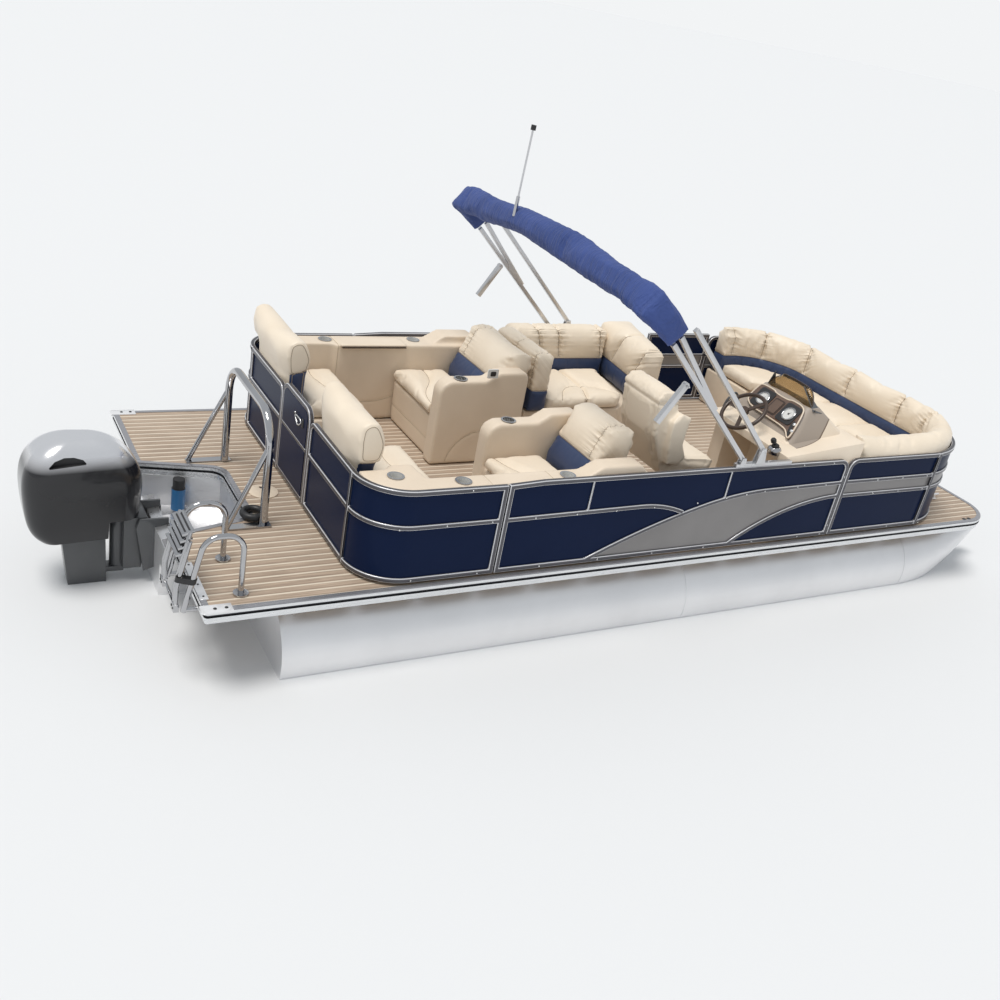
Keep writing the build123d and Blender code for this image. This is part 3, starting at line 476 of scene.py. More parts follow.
def addEasing(piece, width, steps):
    bevel = piece.modifiers.new("easing", "BEVEL")
    bevel.width = width
    bevel.segments = steps
    bevel.limit_method = "ANGLE"
    bevel.angle_limit = math.radians(edgeAngles["eased"])
    return bevel


def shade(mesh, sharp):
    mesh.shade_smooth()
    mesh.set_sharp_from_angle(angle=math.radians(sharp))


def weldedCopy(node):
    shape = bmesh.new()
    shape.from_mesh(frame["nodes"][node].data)
    bmesh.ops.remove_doubles(shape, verts=shape.verts, dist=0.00002)
    return shape


def meshFrom(shape, name):
    mesh = bpy.data.meshes.new(name)
    shape.to_mesh(mesh)
    shape.free()
    return mesh


def looseSolids(node):
    # a node's separate solids as meshes, from port to starboard
    shape = weldedCopy(node)
    shape.verts.ensure_lookup_table()
    owner = [-1] * len(shape.verts)
    count = 0
    for first in shape.verts:
        if owner[first.index] >= 0:
            continue
        owner[first.index] = count
        waiting = [first]
        while waiting:
            for edge in waiting.pop().link_edges:
                for vert in edge.verts:
                    if owner[vert.index] < 0:
                        owner[vert.index] = count
                        waiting.append(vert)
        count += 1
    meshes = []
    for number in range(count):
        verts = [vert for vert in shape.verts if owner[vert.index] == number]
        index = {vert.index: place for place, vert in enumerate(verts)}
        faces = [[index[v.index] for v in face.verts] for face in shape.faces
                 if owner[face.verts[0].index] == number]
        meshes.append(meshOf(node, [vert.co for vert in verts], (), faces))
    shape.free()
    return sorted(meshes, key=lambda mesh: -sum(v.co.y for v in mesh.vertices) / len(mesh.vertices))


def coords(mesh):
    flat = np.empty(len(mesh.vertices) * 3)
    mesh.vertices.foreach_get("co", flat)
    return flat.reshape(-1, 3)


def normals(mesh):
    flat = np.empty(len(mesh.vertices) * 3, np.float32)
    mesh.vertex_normals.foreach_get("vector", flat)
    return flat.reshape(-1, 3).astype(float)


def setCoords(mesh, places):
    mesh.vertices.foreach_set("co", places.ravel())
    mesh.update()


def aboard(places):
    # x from the stern edge, y from the centreline and z from the deck, of an array of places
    return places[:, 0] - sternX, places[:, 1], places[:, 2] - deckZ


def newTree(name, entries):
    tree = bpy.data.node_groups.new(name, "GeometryNodeTree")
    tree.interface.new_socket("Geometry", in_out="INPUT", socket_type="NodeSocketGeometry")
    for label, value in entries.items():
        kind = "NodeSocketInt" if isinstance(value, int) else "NodeSocketFloat"
        tree.interface.new_socket(label, in_out="INPUT", socket_type=kind).default_value = value
    tree.interface.new_socket("Material", in_out="INPUT", socket_type="NodeSocketMaterial")
    tree.interface.new_socket("Geometry", in_out="OUTPUT", socket_type="NodeSocketGeometry")
    return tree, tree.nodes.new("NodeGroupInput").outputs, tree.nodes.new("NodeGroupOutput")


def endTree(tree, start, shape, end):
    real = flow(tree, "GeometryNodeRealizeInstances", {0: shape})
    painted = flow(tree, "GeometryNodeSetMaterial", {"Geometry": real, "Material": start["Material"]})
    tree.links.new(painted, end.inputs[0])
    return tree


def headsTree():
    # a low domed head on every point, facing along the points' "facing"
    tree, start, end = newTree("fastenerHeads", {"Radius": 0.005, "Height": 0.003, "Sides": 8, "Seed": 3,
                                                 "Crown": 0.55})
    crown = flow(tree, "ShaderNodeMath", {0: start["Radius"], 1: start["Crown"]}, operation="MULTIPLY")
    head = flow(tree, "GeometryNodeMeshCone", {"Radius Bottom": start["Radius"], "Radius Top": crown,
                                               "Depth": start["Height"], "Vertices": start["Sides"]}, "Mesh")
    facing = flow(tree, "GeometryNodeInputNamedAttribute", {"Name": "facing"}, "Attribute", data_type="FLOAT_VECTOR")
    turn = flow(tree, "FunctionNodeAlignRotationToVector", {"Vector": facing}, axis="Z")
    vary = flow(tree, "FunctionNodeRandomValue", {2: 0.93, 3: 1.07, "Seed": start["Seed"]}, 1, data_type="FLOAT")
    placed = flow(tree, "GeometryNodeInstanceOnPoints", {"Points": start["Geometry"], "Instance": head,
                                                         "Rotation": turn, "Scale": vary}, "Instances")
    return endTree(tree, start, placed, end)


def tubeTree():
    # a round tube along every line of edges
    tree, start, end = newTree("tubeAlongEdges", {"Radius": 0.004, "Sides": 6})
    line = flow(tree, "GeometryNodeMeshToCurve", {"Mesh": start["Geometry"]})
    ring = flow(tree, "GeometryNodeCurvePrimitiveCircle", {"Resolution": start["Sides"], "Radius": start["Radius"]})
    return endTree(tree, start, flow(tree, "GeometryNodeCurveToMesh", {"Curve": line, "Profile Curve": ring,
                                                                       "Fill Caps": True}), end)


trees = {"heads": headsTree(), "tube": tubeTree()}


def grow(mesh, tree, finish, body, slot, **values):
    # runs one of the trees over a mesh of points or edges and keeps the result as a plain mesh
    piece = newPiece(mesh.name, mesh)
    work = piece.modifiers.new("grow", "NODES")
    work.node_group = trees[tree]
    values["Material"] = finishes[finish]
    for item in trees[tree].interface.items_tree:
        if item.in_out == "INPUT" and item.name in values:
            work[item.identifier] = values[item.name]
    settle(piece)
    piece.data.shade_smooth()
    return fit(piece, body, slot)


def pointsMesh(name, places, facings):
    mesh = meshOf(name, places)
    facing = mesh.attributes.new("facing", "FLOAT_VECTOR", "POINT")
    facing.data.foreach_set("vector", np.array([tuple(f) for f in facings], np.float32).ravel())
    return mesh


def lineMesh(name, places, closed=False):
    edges = [(i, i + 1) for i in range(len(places) - 1)] + ([(len(places) - 1, 0)] if closed else [])
    return meshOf(name, places, edges)


# Hard pieces with eased edges: the node's own form, each corner rounded as the real one is

edgeAngles = {"flat": 0.6, "eased": 38, "sharp": 42, "fitting": 40}     # degrees
easing = {
    # node: (edge radius in metres, steps round it)
    "fence_rails_aft": (0.0048, 2), "fence_rails_sides": (0.0048, 2), "fence_rails_bow": (0.0048, 2),
    "stern_gate_frame": (0.0045, 2), "port_gate_frame": (0.0045, 2),
    "bench_base": (0.012, 3), "bow_base": (0.012, 3), "stern_seat_bases": (0.012, 3), "helm_console": (0.025, 4),
    "engine_lower_unit": (0.012, 3), "engine_bracket": (0.004, 2), "engine_swivel": (0.01, 3),
    "canopy_bases": (0.002, 2), "canopy_frame": (0.004, 2), "canopy_braces": (0.004, 2),
    "canopy_struts": (0.004, 2), "ladder": (0.002, 2), "deck_plate": (0.003, 2), "bow_cleats": (0.003, 2),
    "motor_pod": (0.004, 2),
}
strayGap = 0.0004     # how far a corner may stand off its solid


def easeNode(node, width, steps):
    shape = weldedCopy(node)
    solid = BVHTree.FromBMesh(shape)
    bmesh.ops.dissolve_limit(shape, angle_limit=math.radians(edgeAngles["flat"]), verts=shape.verts,
                             edges=shape.edges)
    bmesh.ops.connect_verts_concave(shape, faces=shape.faces)
    mesh = meshFrom(shape, node + "_eased")
    finish = frame["nodes"][node].data.materials[0]
    piece = newPiece(node + "_eased", mesh)
    mesh.materials.append(finish)
    bevel = addEasing(piece, width, steps)
    if "rail" in finish.name.lower():
        # the rails' rounded corners get a brighter finish, a painted highlight where they would catch the light
        mesh.materials.append(finishes["rail_edge"])
        bevel.material = 1
        bevel.use_clamp_overlap = False
    settle(piece)
    for vert in piece.data.vertices:
        # a corner that the easing pushed out of its solid comes back onto it
        near, facing, _, gap = solid.find_nearest(vert.co)
        if gap > strayGap and (vert.co - near).dot(facing) > 0:
            vert.co = near
    shade(piece.data, edgeAngles["sharp"])
    part = next(p for p in frame["record"]["subparts"] if p["node"] == node)
    return fit(piece, frame["nodes"][node]["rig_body"], part["material_slot"], node)


for node, (width, steps) in easing.items():
    easeNode(node, width, steps)
print("hard edges eased on", len(easing), "nodes")


# Soft goods. Each cushion starts inside its solid, is blown up by cloth simulation with its seams held,
# and gets its grooves, gathers and colours afterwards.

def seam(field, where=None, depth=0.007, gather=0.0, along=lambda x, y, z: x + y, width=0.009):
    # a seam runs where its field is nought; gathers vary with the value of along
    return {"field": field, "where": where, "depth": depth, "gather": gather, "along": along, "width": width}


def seamAt(x, y, across=(1, 0), where=None, gather=0.0, depth=0.010, width=0.009):
    # an upright seam through (x, y); across is the plan direction that it is square to
    nx, ny = (part / math.hypot(*across) for part in across)
    return seam(lambda px, py, pz: (px - x) * nx + (py - y) * ny, where, depth, gather,
                lambda px, py, pz: pz + px * ny - py * nx, width)


def seamLevel(level, where=None, depth=0.008):
    return seam(lambda x, y, z: z - level, where, depth)


def slantSeam(foot, lean):
    # an upright seam of the bench's back, through x = foot where the navy band ends, leaning aft as it rises
    return seam(lambda x, y, z: x - foot + lean * (z - 0.5), roll, 0.020, 1.0, lambda x, y, z: z + 0.7 * y, 0.012)


def tuckSeam(field, gather, depth):
    return seam(field, roll, depth, gather, lambda x, y, z: z + 0.5 * y, 0.012)


def splitSeam(field):
    # a parting between two seat cushions
    return seam(field, None, 0.020, width=0.012)


def bowSeam(top, low, gather=0.8):
    # square to the line of the back, which runs from its top point to its low point in plan
    return seamAt(low[0], low[1], (-(top[1] - low[1]), top[0] - low[0]), roll, gather, 0.024, 0.012)


def seat(node, which, seams, **more):
    return dict(node=node, which=which, seams=seams, inset=0.010, swell=0.024, held=[(0, 0, -1)]) | more


def back(node, which, seams, navy, **more):
    # which: a solid's number from port, or a test of its centre
    return dict(node=node, which=which, seams=seams, navy=navy, inset=0.012, swell=0.030, held=[(0, 0, -1)]) | more


pillow = lambda x, y, z: z > 0.575
roll = lambda x, y, z: z > 0.505
onTop = lambda x, y, z: z > 0.40
front = lambda x, y, z: x > 0.925
upper = lambda x, y, z: z > 0.5
chairBack = lambda x, y, z: (x < 3.2) & (z > 0.56)
endFaces = [(0, 1, 0), (0, -1, 0)]

cushions = {
    "sternSeatPort": seat("stern_seat_cushions", 0, [
        seam(lambda x, y, z: x - 1.31 - 0.03 * np.sin((y - 0.3) * 8), onTop)], swell=0.022),
    "sternSeatStarboard": seat("stern_seat_cushions", 1, [
        seam(lambda x, y, z: x - 1.31 - 0.03 * np.sin((y + 0.3) * 8), onTop)], swell=0.022),
    "sternBackPort": back("stern_seat_backs", 0, [
        seam(lambda x, y, z: z - 0.658 - 0.22 * (x - 0.98), lambda x, y, z: front(x, y, z) & (y < 1.05), 0.006),
        seamAt(0, 0.348, (0, 1), None, 0, 0.002), seamAt(0, 1.130, (0, 1), None, 0, 0.002)],
        lambda x, y, z: (z < 0.658 + 0.22 * (x - 0.98)) & front(x, y, z) & (y < 1.045), polish=14, held=endFaces),
    "sternBackStarboard": back("stern_seat_backs", 1, [
        seamLevel(0.615, front, 0.006), seamAt(0, -0.932, (0, 1), None, 0, 0.002),
        seamAt(0, -0.296, (0, 1), None, 0, 0.002)],
        lambda x, y, z: (z < 0.615) & front(x, y, z), polish=14, held=endFaces),
    "loungerSeatPort": seat("lounger_cushions", 0, [
        seam(lambda x, y, z: x - 2.09 - 0.11 * np.tanh((y - 0.66) * 6), onTop)]),
    "loungerSeatStarboard": seat("lounger_cushions", 1, [
        seam(lambda x, y, z: x - 2.11 + 0.10 * np.tanh((y + 0.80) * 6), onTop)]),
    "loungerBackPort": back("lounger_backs", 0, [
        seamLevel(0.57, lambda x, y, z: x < 2.60), seamAt(0, 0.91, (0, 1), pillow, 1.0, 0.006)],
        lambda x, y, z: (z < 0.57) & (x < 2.58)),
    "loungerBackStarboard": back("lounger_backs", 1, [
        seamLevel(0.57, lambda x, y, z: x < 2.60), seamAt(0, -0.91, (0, 1), pillow, 1.0, 0.006)],
        lambda x, y, z: (z < 0.57) & (x < 2.58)),
    "benchSeat": seat("bench_cushion", 0, [
        splitSeam(lambda x, y, z: x - 3.40 + 0.4 * np.maximum(0.55 - y, 0)),
        seam(lambda x, y, z: y - np.where(x < 3.40, 0.615 - 4.2 * (3.34 - x) ** 2, 0.605 - 2.5 * (x - 3.42) ** 2),
             onTop)]),
    "benchBackLong": back("bench_backs", lambda c: c[1] > 1.0 and c[0] < 3.8, [
        seamLevel(0.495), slantSeam(3.27, 0.30), slantSeam(3.44, 0.20), slantSeam(3.85, 0.20)],
        lambda x, y, z: z < 0.495, swell=0.028, held=[(0, 1, 0), (0, 0, -1)]),
    "benchBackFore": back("bench_backs", lambda c: c[0] > 3.8, [
        seamLevel(0.495), tuckSeam(lambda x, y, z: y - 0.600 + 0.45 * (z - 0.471), 1.0, 0.008),
        tuckSeam(lambda x, y, z: y - 0.947 + 0.50 * (z - 0.518), 0.3, 0.014)],
        lambda x, y, z: z < 0.495, swell=0.028, held=[(1, 0, 0), (0, 0, -1)]),
    "benchBackAft": back("bench_backs", lambda c: c[0] < 2.96, [
        seamLevel(0.50), seamAt(2.86, 0.40, (0, 1), upper, 0.8), seamAt(2.86, 0.68, (0, 1), upper, 0.7)],
        lambda x, y, z: z < 0.50, swell=0.028, held=[(-1, 0, 0), (0, 0, -1)]),
    "bowSeat": seat("bow_cushion", 0, [
        splitSeam(lambda x, y, z: y - 0.157 - 1.4 * np.clip(5.632 - x, 0, 0.3)),
        seamAt(5.30, -0.30, (0, 1), onTop), seamAt(5.15, -0.8, (1, 0), onTop)]),
    "bowBack": back("bow_backs", 0, [
        seamLevel(0.500), bowSeam((5.641, 1.021), (5.445, 0.760)), bowSeam((5.882, 0.680), (5.649, 0.494)),
        bowSeam((5.770, 0.095), (5.660, 0.094)), bowSeam((5.752, -0.486), (5.619, -0.514)),
        bowSeam((5.846, -0.810), (5.709, -0.749), 0.9),
        seamAt(5.33, 1.1, (1, 0), lambda x, y, z: (y > 0.9) & (z > 0.505), 1.0, 0.005)],
        lambda x, y, z: z < 0.500, voxel=0.020),
    "canopyCover": dict(node="canopy_boot", which=0, inset=0.012, swell=0.024, held=[], voxel=0.020, pressure=2.5,
                        finish="canvas_navy", fill=0.5, pucker=0.004, polish=3, seams=[
                            seamAt(0, 0.27, (0.25, 1), None, 0.8, 0.006), seamAt(0, 0.62, (-0.2, 1), None, 0.8, 0.006),
                            seamAt(0, -0.98, (0.1, 1), None, 0.8, 0.006)]),
    "captainSeat": dict(node="captains_chair", which=0, inset=0.006, swell=0.008, held=[], voxel=0.009, levels=0,
                        pressure=3.0, rounds=3, seams=[
                            seamLevel(0.925, lambda x, y, z: x < 3.2), seamAt(0, -0.560, (0, 1), chairBack, 0, 0.005),
                            seamAt(0, -0.870, (0, 1), chairBack, 0, 0.005)]),
}
# Upholstered boards: no filling to swell, only soft edges, with the same seams
innerSide = lambda x, y, z: np.abs(y - 0.205) < 0.03
starboardTop = lambda x, y, z: (y < -0.9) & (z > 0.55)
boards = {
    "sideLedges": dict(node="side_consoles", voxel=0.0125, rounds=3, seams=[
        seamAt(1.512, 0, (1, 0), lambda x, y, z: (y > 0.9) & (z < 0.605) & (z > 0.15), 0, 0.004),
        seam(lambda x, y, z: z - 0.150 - 1.0 * np.clip(x - 1.78, 0, 1) ** 2,
             lambda x, y, z: (y > 0.9) & (x > 1.512) & (x < 1.99) & (z < 0.4), 0.004),
        seamAt(1.62, 0, (1, 0), starboardTop, 0, 0.004), seamAt(2.04, 0, (1, 0), starboardTop, 0, 0.004)]),
    "loungerBodies": dict(node="lounger_bases", voxel=0.012, rounds=5, seams=[
        seam(lambda x, y, z: np.hypot(x - 2.36, z + 0.03) - 0.285,
             lambda x, y, z: innerSide(x, y, z) & (z > 0.02) & (x < 2.36), 0.005),
        seamLevel(0.255, lambda x, y, z: innerSide(x, y, z) & (x > 2.36), 0.005),
        seamLevel(0.14, lambda x, y, z: (x < 2.02) & (y > 0.34), 0.005)]),
}
clothRun = {"voxel": 0.018, "pressure": 7.0, "frames": 20, "rounding": 5, "slack": -0.012, "facing": 0.85, "band": 0.62,
            "quality": 3, "mass": 0.3, "tension_stiffness": 12, "compression_stiffness": 12, "shear_stiffness": 6,
            "bending_stiffness": 0.4}
# how far a gather spreads, how many folds it has in a metre, and how deep they are
folding = {"spread": 0.05, "rate": 215, "sway": 2.4, "swayRate": 61, "depth": 0.014}
creases = [((3.0, 7.0, 3.0), 0.003), ((7.0, 26.0, 7.0), 0.004)]     # the boot's: how often along x, y, z, how deep
welts = {"radius": 0.0024, "sides": 5, "groove": 0.006}


def pickSolid(spec):
    solids = looseSolids(spec["node"])
    if callable(spec["which"]):
        centres = [np.array(aboard(coords(mesh))).mean(axis=1) for mesh in solids]
        return next(mesh for mesh, centre in zip(solids, centres) if spec["which"](centre))
    return solids[spec["which"]] if len(solids) > spec["which"] else solids[0]


def heldBand(spec, places):
    # which places lie at a seam, where the cloth is held
    x, y, z = aboard(places)
    near = np.zeros(len(places), bool)
    for line in spec["seams"]:
        close = np.abs(line["field"](x, y, z)) < spec.get("voxel", clothRun["voxel"]) * clothRun["band"]
        if line["where"]:
            close &= line["where"](x, y, z)
        near |= close
    return near


def evenOut(piece, voxel, rounds):
    # an even mesh with softened edges
    voxels = piece.modifiers.new("voxels", "REMESH")
    voxels.mode = "VOXEL"
    voxels.voxel_size = voxel
    rounding = piece.modifiers.new("rounding", "SMOOTH")
    rounding.iterations = rounds
    rounding.factor = 0.5
    return settle(piece).data


def startCushion(name, spec):
    piece = newPiece(name, pickSolid(spec))
    mesh = evenOut(piece, spec.get("voxel", clothRun["voxel"]), spec.get("rounds", clothRun["rounding"]))
    setCoords(mesh, coords(mesh) - normals(mesh) * spec["inset"])
    return piece


def hangCloth(piece, spec):
    held = heldBand(spec, coords(piece.data))
    facing = normals(piece.data)
    for direction in spec["held"]:
        held |= facing @ np.array(direction, float) > clothRun["facing"]
    group = piece.vertex_groups.new(name="held")
    group.add([int(i) for i in np.nonzero(held)[0]], 1.0, "REPLACE")
    cloth = piece.modifiers.new("cloth", "CLOTH")
    settings = cloth.settings
    for label in ("quality", "mass", "tension_stiffness", "compression_stiffness", "shear_stiffness",
                  "bending_stiffness"):
        setattr(settings, label, clothRun[label])
    settings.shrink_min = clothRun["slack"]
    settings.use_pressure = True
    settings.uniform_pressure_force = spec.get("pressure", clothRun["pressure"])
    settings.effector_weights.gravity = 0
    settings.vertex_group_mass = "held"
    cloth.point_cache.frame_start = 1
    cloth.point_cache.frame_end = clothRun["frames"]


def runCloth():
    for number in range(1, clothRun["frames"] + 1):
        bpy.context.scene.frame_set(number)


def capSwell(piece, spec, before):
    # no point goes further than the cushion may swell
    settle(piece)
    shift = coords(piece.data) - before
    size = np.maximum(np.linalg.norm(shift, axis=1), 1e-9)
    setCoords(piece.data, before + shift * np.minimum(1, spec["swell"] / size)[:, None])


def finishCushion(piece, spec):
    if spec.get("polish"):
        calm = piece.modifiers.new("calm", "SMOOTH")
        calm.iterations = spec["polish"]
        calm.factor = 0.5
    smooth = piece.modifiers.new("finer", "SUBSURF")
    smooth.levels = smooth.render_levels = spec.get("levels", 1)
    mesh = settle(piece).data
    places, outward = coords(mesh), normals(mesh)
    x, y, z = aboard(places)
    tuck, along, sunk, creased = np.zeros((4, len(places)))
    for line in spec["seams"]:
        distance = np.abs(line["field"](x, y, z))
        inside = line["where"](x, y, z) if line["where"] else True
        here = np.where(inside, np.exp(-(distance / line["width"]) ** 2), 0)
        gathers = np.where(inside, line["gather"] * np.exp(-distance / folding["spread"]), 0)
        sunk = np.maximum(sunk, here * line["depth"])
        stronger = gathers > tuck
        tuck = np.where(stronger, gathers, tuck)
        along = np.where(stronger, line["along"](x, y, z), along)
    folds = 0.5 + 0.5 * np.sin(along * folding["rate"] + folding["sway"] * np.sin(along * folding["swayRate"]))
    puckered = tuck * folds * spec.get("pucker", folding["depth"])
    if spec.get("finish") == "canvas_navy":
        for often, depth in creases:
            creased = creased + np.array([noise.noise(Vector(p * often)) for p in places]) * depth
    setCoords(mesh, places - outward * (sunk + puckered - creased)[:, None])
    for label, values in (("tuck", tuck), ("along", along)):
        layer = mesh.attributes.new(label, "FLOAT", "POINT")
        layer.data.foreach_set("value", values.astype(np.float32))
    mesh.materials.clear()
    mesh.materials.append(finishes[spec.get("finish", "vinyl_cream")])
    mesh.materials.append(finishes["vinyl_navy"])
    if "navy" in spec:
        centres = np.array([face.center[:] for face in mesh.polygons])
        mesh.polygons.foreach_set("material_index", spec["navy"](*aboard(centres)).astype(np.int32))
    mesh.shade_smooth()


def seamLines(mesh, line):
    # where a seam's field is nought on the mesh, as short edges from side to side of each face
    places = coords(mesh)
    x, y, z = aboard(places)
    field = line["field"](x, y, z)
    keep = line["where"](x, y, z) if line["where"] else np.ones(len(field), bool)
    ends = np.empty(len(mesh.edges) * 2, np.int32)
    mesh.edges.foreach_get("vertices", ends)
    ends = ends.reshape(-1, 2)
    crosses = (field[ends[:, 0]] * field[ends[:, 1]] < 0) & keep[ends[:, 0]] & keep[ends[:, 1]]
    spots = {}
    verts, edges = [], []
    for face in mesh.polygons:
        found = [mesh.loops[i].edge_index for i in face.loop_indices if crosses[mesh.loops[i].edge_index]]
        if len(found) != 2:
            continue
        for edge in found:
            if edge not in spots:
                a, b = ends[edge]
                part = field[a] / (field[a] - field[b])
                spots[edge] = len(verts)
                verts.append(places[a] * (1 - part) + places[b] * part)
        edges.append((spots[found[0]], spots[found[1]]))
    return verts, edges


def pipeSeams(name, made, finish, slot):
    # a thin welt in every seam of these pieces
    verts, edges = [], []
    for mesh, seams in made:
        for line in seams:
            more, ends = seamLines(mesh, line)
            edges += [(a + len(verts), b + len(verts)) for a, b in ends]
            verts += more
    grow(meshOf(name, verts, edges), "tube", finish, "hull", slot, Radius=welts["radius"], Sides=welts["sides"])


def buildCushions():
    made = []
    for name, spec in cushions.items():
        piece = startCushion(name, spec)
        before = coords(piece.data)
        hangCloth(piece, spec)
        made.append((piece, spec, before))
    runCloth()
    for piece, spec, before in made:
        capSwell(piece, spec, before)
        finishCushion(piece, spec)
        fit(piece, frame["nodes"][spec["node"]]["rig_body"], spec.get("finish", "vinyl_cream"), spec["node"])
        print("cushion", piece.name, len(piece.data.polygons), "faces")
    pipeSeams("seatWelts", [(piece.data, spec["seams"]) for piece, spec, before in made
                            if spec["node"] not in ("captains_chair", "canopy_boot")], "seam_shadow", "vinyl_cream")
    print("cushions done:", len(made))


def buildBoards():
    for name, spec in boards.items():
        piece = newPiece(name, meshFrom(weldedCopy(spec["node"]), name))
        mesh = evenOut(piece, spec["voxel"], spec["rounds"])
        places, outward = coords(mesh), normals(mesh)
        x, y, z = aboard(places)
        sunk = np.zeros(len(places))
        for line in spec["seams"]:
            groove = np.exp(-(line["field"](x, y, z) / welts["groove"]) ** 2) * line["depth"]
            sunk = np.maximum(sunk, np.where(line["where"](x, y, z), groove, 0))
        setCoords(mesh, places - outward * sunk[:, None])
        mesh.materials.clear()
        mesh.materials.append(finishes["base_cream"])
        mesh.shade_smooth()
        fit(piece, "hull", "base_cream", spec["node"])
        # the welts are painted darker, as painted shade along the seams
        pipeSeams(name + "Welt", [(mesh, spec["seams"])], "stitch", "base_cream")
        print("upholstered", name, len(mesh.polygons), "faces")


buildCushions()
buildBoards()


# Hard details that the solids leave to this script

fore, port, up = Vector((1, 0, 0)), Vector((0, 1, 0)), Vector((0, 0, 1))
origin = at(0, 0, 0)


def prism(outline, place, across, rise, low, high):
    # an outline in a plane, drawn out along the plane's normal from low to high
    out = across.cross(rise).normalized()
    verts = [place + across * a + rise * b + out * lift for lift in (low, high) for a, b in outline]
    count = len(outline)
    faces = [tuple(range(count)), tuple(range(count, 2 * count))]
    faces += [(i, (i + 1) % count, count + (i + 1) % count, count + i) for i in range(count)]
    return verts, faces


def box(low, high):
    return prism([(low[1], low[2]), (high[1], low[2]), (high[1], high[2]), (low[1], high[2])], origin, port, up,
                 low[0], high[0])


def turned(profile, place, axis, sides=32):
    # (radius, height) pairs turned about an axis, with flat ends
    turn = Vector(axis).to_track_quat("Z", "Y")
    verts, faces = [], []
    for radius, height in profile:
        for step in range(sides):
            angle = 2 * math.pi * step / sides
            verts.append(place + turn @ Vector((radius * math.cos(angle), radius * math.sin(angle), height)))
    for ring in range(len(profile) - 1):
        for step in range(sides):
            a, b = ring * sides + step, ring * sides + (step + 1) % sides
            faces.append((a, b, b + sides, a + sides))
    return verts, faces + [tuple(range(sides)), tuple(range(len(verts) - sides, len(verts)))]


def disc(radius, height, *more, place, axis=up, sides=32):
    # a plug of one radius, with a smaller top where more (radius, height) pairs are given
    return turned([(radius, 0), (radius, height), *more], place, axis, sides)


def ringAround(radius, thick, place, axis, sides=32, steps=8):
    turn = Vector(axis).to_track_quat("Z", "Y")
    verts, faces = [], []
    for step in range(sides):
        angle = 2 * math.pi * step / sides
        for part in range(steps):
            bend = 2 * math.pi * part / steps
            reach = radius + thick * math.cos(bend)
            verts.append(place + turn @ Vector((reach * math.cos(angle), reach * math.sin(angle),
                                                thick * math.sin(bend))))
            nextStep, nextPart = (step + 1) % sides, (part + 1) % steps
            faces.append((step * steps + part, nextStep * steps + part, nextStep * steps + nextPart,
                          step * steps + nextPart))
    return verts, faces


def roundedRect(low, high, radius, steps=5):
    # corner points (a, b), drawn counterclockwise
    points = []
    for number, (a, b) in enumerate(((high[0], high[1]), (low[0], high[1]), (low[0], low[1]), (high[0], low[1]))):
        centre = (a - radius if a == high[0] else a + radius, b - radius if b == high[1] else b + radius)
        for step in range(steps + 1):
            angle = math.radians(90 * number + 90 * step / steps)
            points.append((centre[0] + radius * math.cos(angle), centre[1] + radius * math.sin(angle)))
    return points


def softened(points, rounds=2, closed=True):
    # cuts the corners of an outline, each time a quarter of the way along its sides
    for turn in range(rounds):
        pairs = list(zip(points, points[1:] + (points[:1] if closed else [])))
        cut = []
        for a, b in pairs:
            a, b = Vector(a), Vector(b)
            cut += [a.lerp(b, 0.25), a.lerp(b, 0.75)]
        points = cut if closed else [Vector(points[0])] + cut[1:-1] + [Vector(points[-1])]
    return points


def assemble(name, parts, body, slot, width=0.0, steps=2):
    # one object from closed shapes, each with its own finish
    verts, faces, owners, used = [], [], [], []
    for (places, sides), finish in parts:
        if finish not in used:
            used.append(finish)
        faces += [tuple(i + len(verts) for i in side) for side in sides]
        owners += [used.index(finish)] * len(sides)
        verts += places
    mesh = meshOf(name, verts, (), faces)
    for finish in used:
        mesh.materials.append(finishes[finish])
    mesh.polygons.foreach_set("material_index", owners)
    shape = bmesh.new()
    shape.from_mesh(mesh)
    bmesh.ops.recalc_face_normals(shape, faces=shape.faces)
    shape.to_mesh(mesh)
    shape.free()
    piece = newPiece(name, mesh)
    if width:
        addEasing(piece, width, steps)
        settle(piece)
    shade(piece.data, edgeAngles["fitting"])
    return fit(piece, body, slot)


def tube(name, places, closed, finish, radius, sides, body, slot):
    return grow(lineMesh(name, places, closed), "tube", finish, body, slot, Radius=radius, Sides=sides)


screws = {"radius": 0.0065, "height": 0.003, "face": 1.2655, "sides": 10, "gateFrom": 4.44,
          # first x, pitch, count, height above the deck
          "rows": [(1.052, 0.293, 7, 0.375), (4.813, 0.265, 3, 0.442), (4.813, 0.265, 3, 0.333),
                   (1.17, 0.43, 8, 0.033), (4.40, 0.35, 4, 0.033), (1.473, 0.43, 1, 0.590)],
          "loose": [(3.569, 0.413), (3.727, 0.424), (4.024, 0.437), (4.293, 0.437), (4.451, 0.489), (4.451, 0.101),
                    (4.019, 0.604), (4.301, 0.604), (3.16, 0.380), (3.40, 0.400)]}


def buildScrews():
    spots = [(x + pitch * i, z) for x, pitch, count, z in screws["rows"] for i in range(count)] + screws["loose"]
    # the port side has none from its gate forward
    heads = [(x, side, z) for side in (-1, 1) for x, z in spots if side < 0 or x <= screws["gateFrom"]]
    grow(pointsMesh("railScrews", [at(x, side * screws["face"], z) for x, side, z in heads],
                    [(0, side, 0) for x, side, z in heads]), "heads", "bright_head", "hull", "stainless",
         Radius=screws["radius"], Height=screws["height"], Sides=screws["sides"])


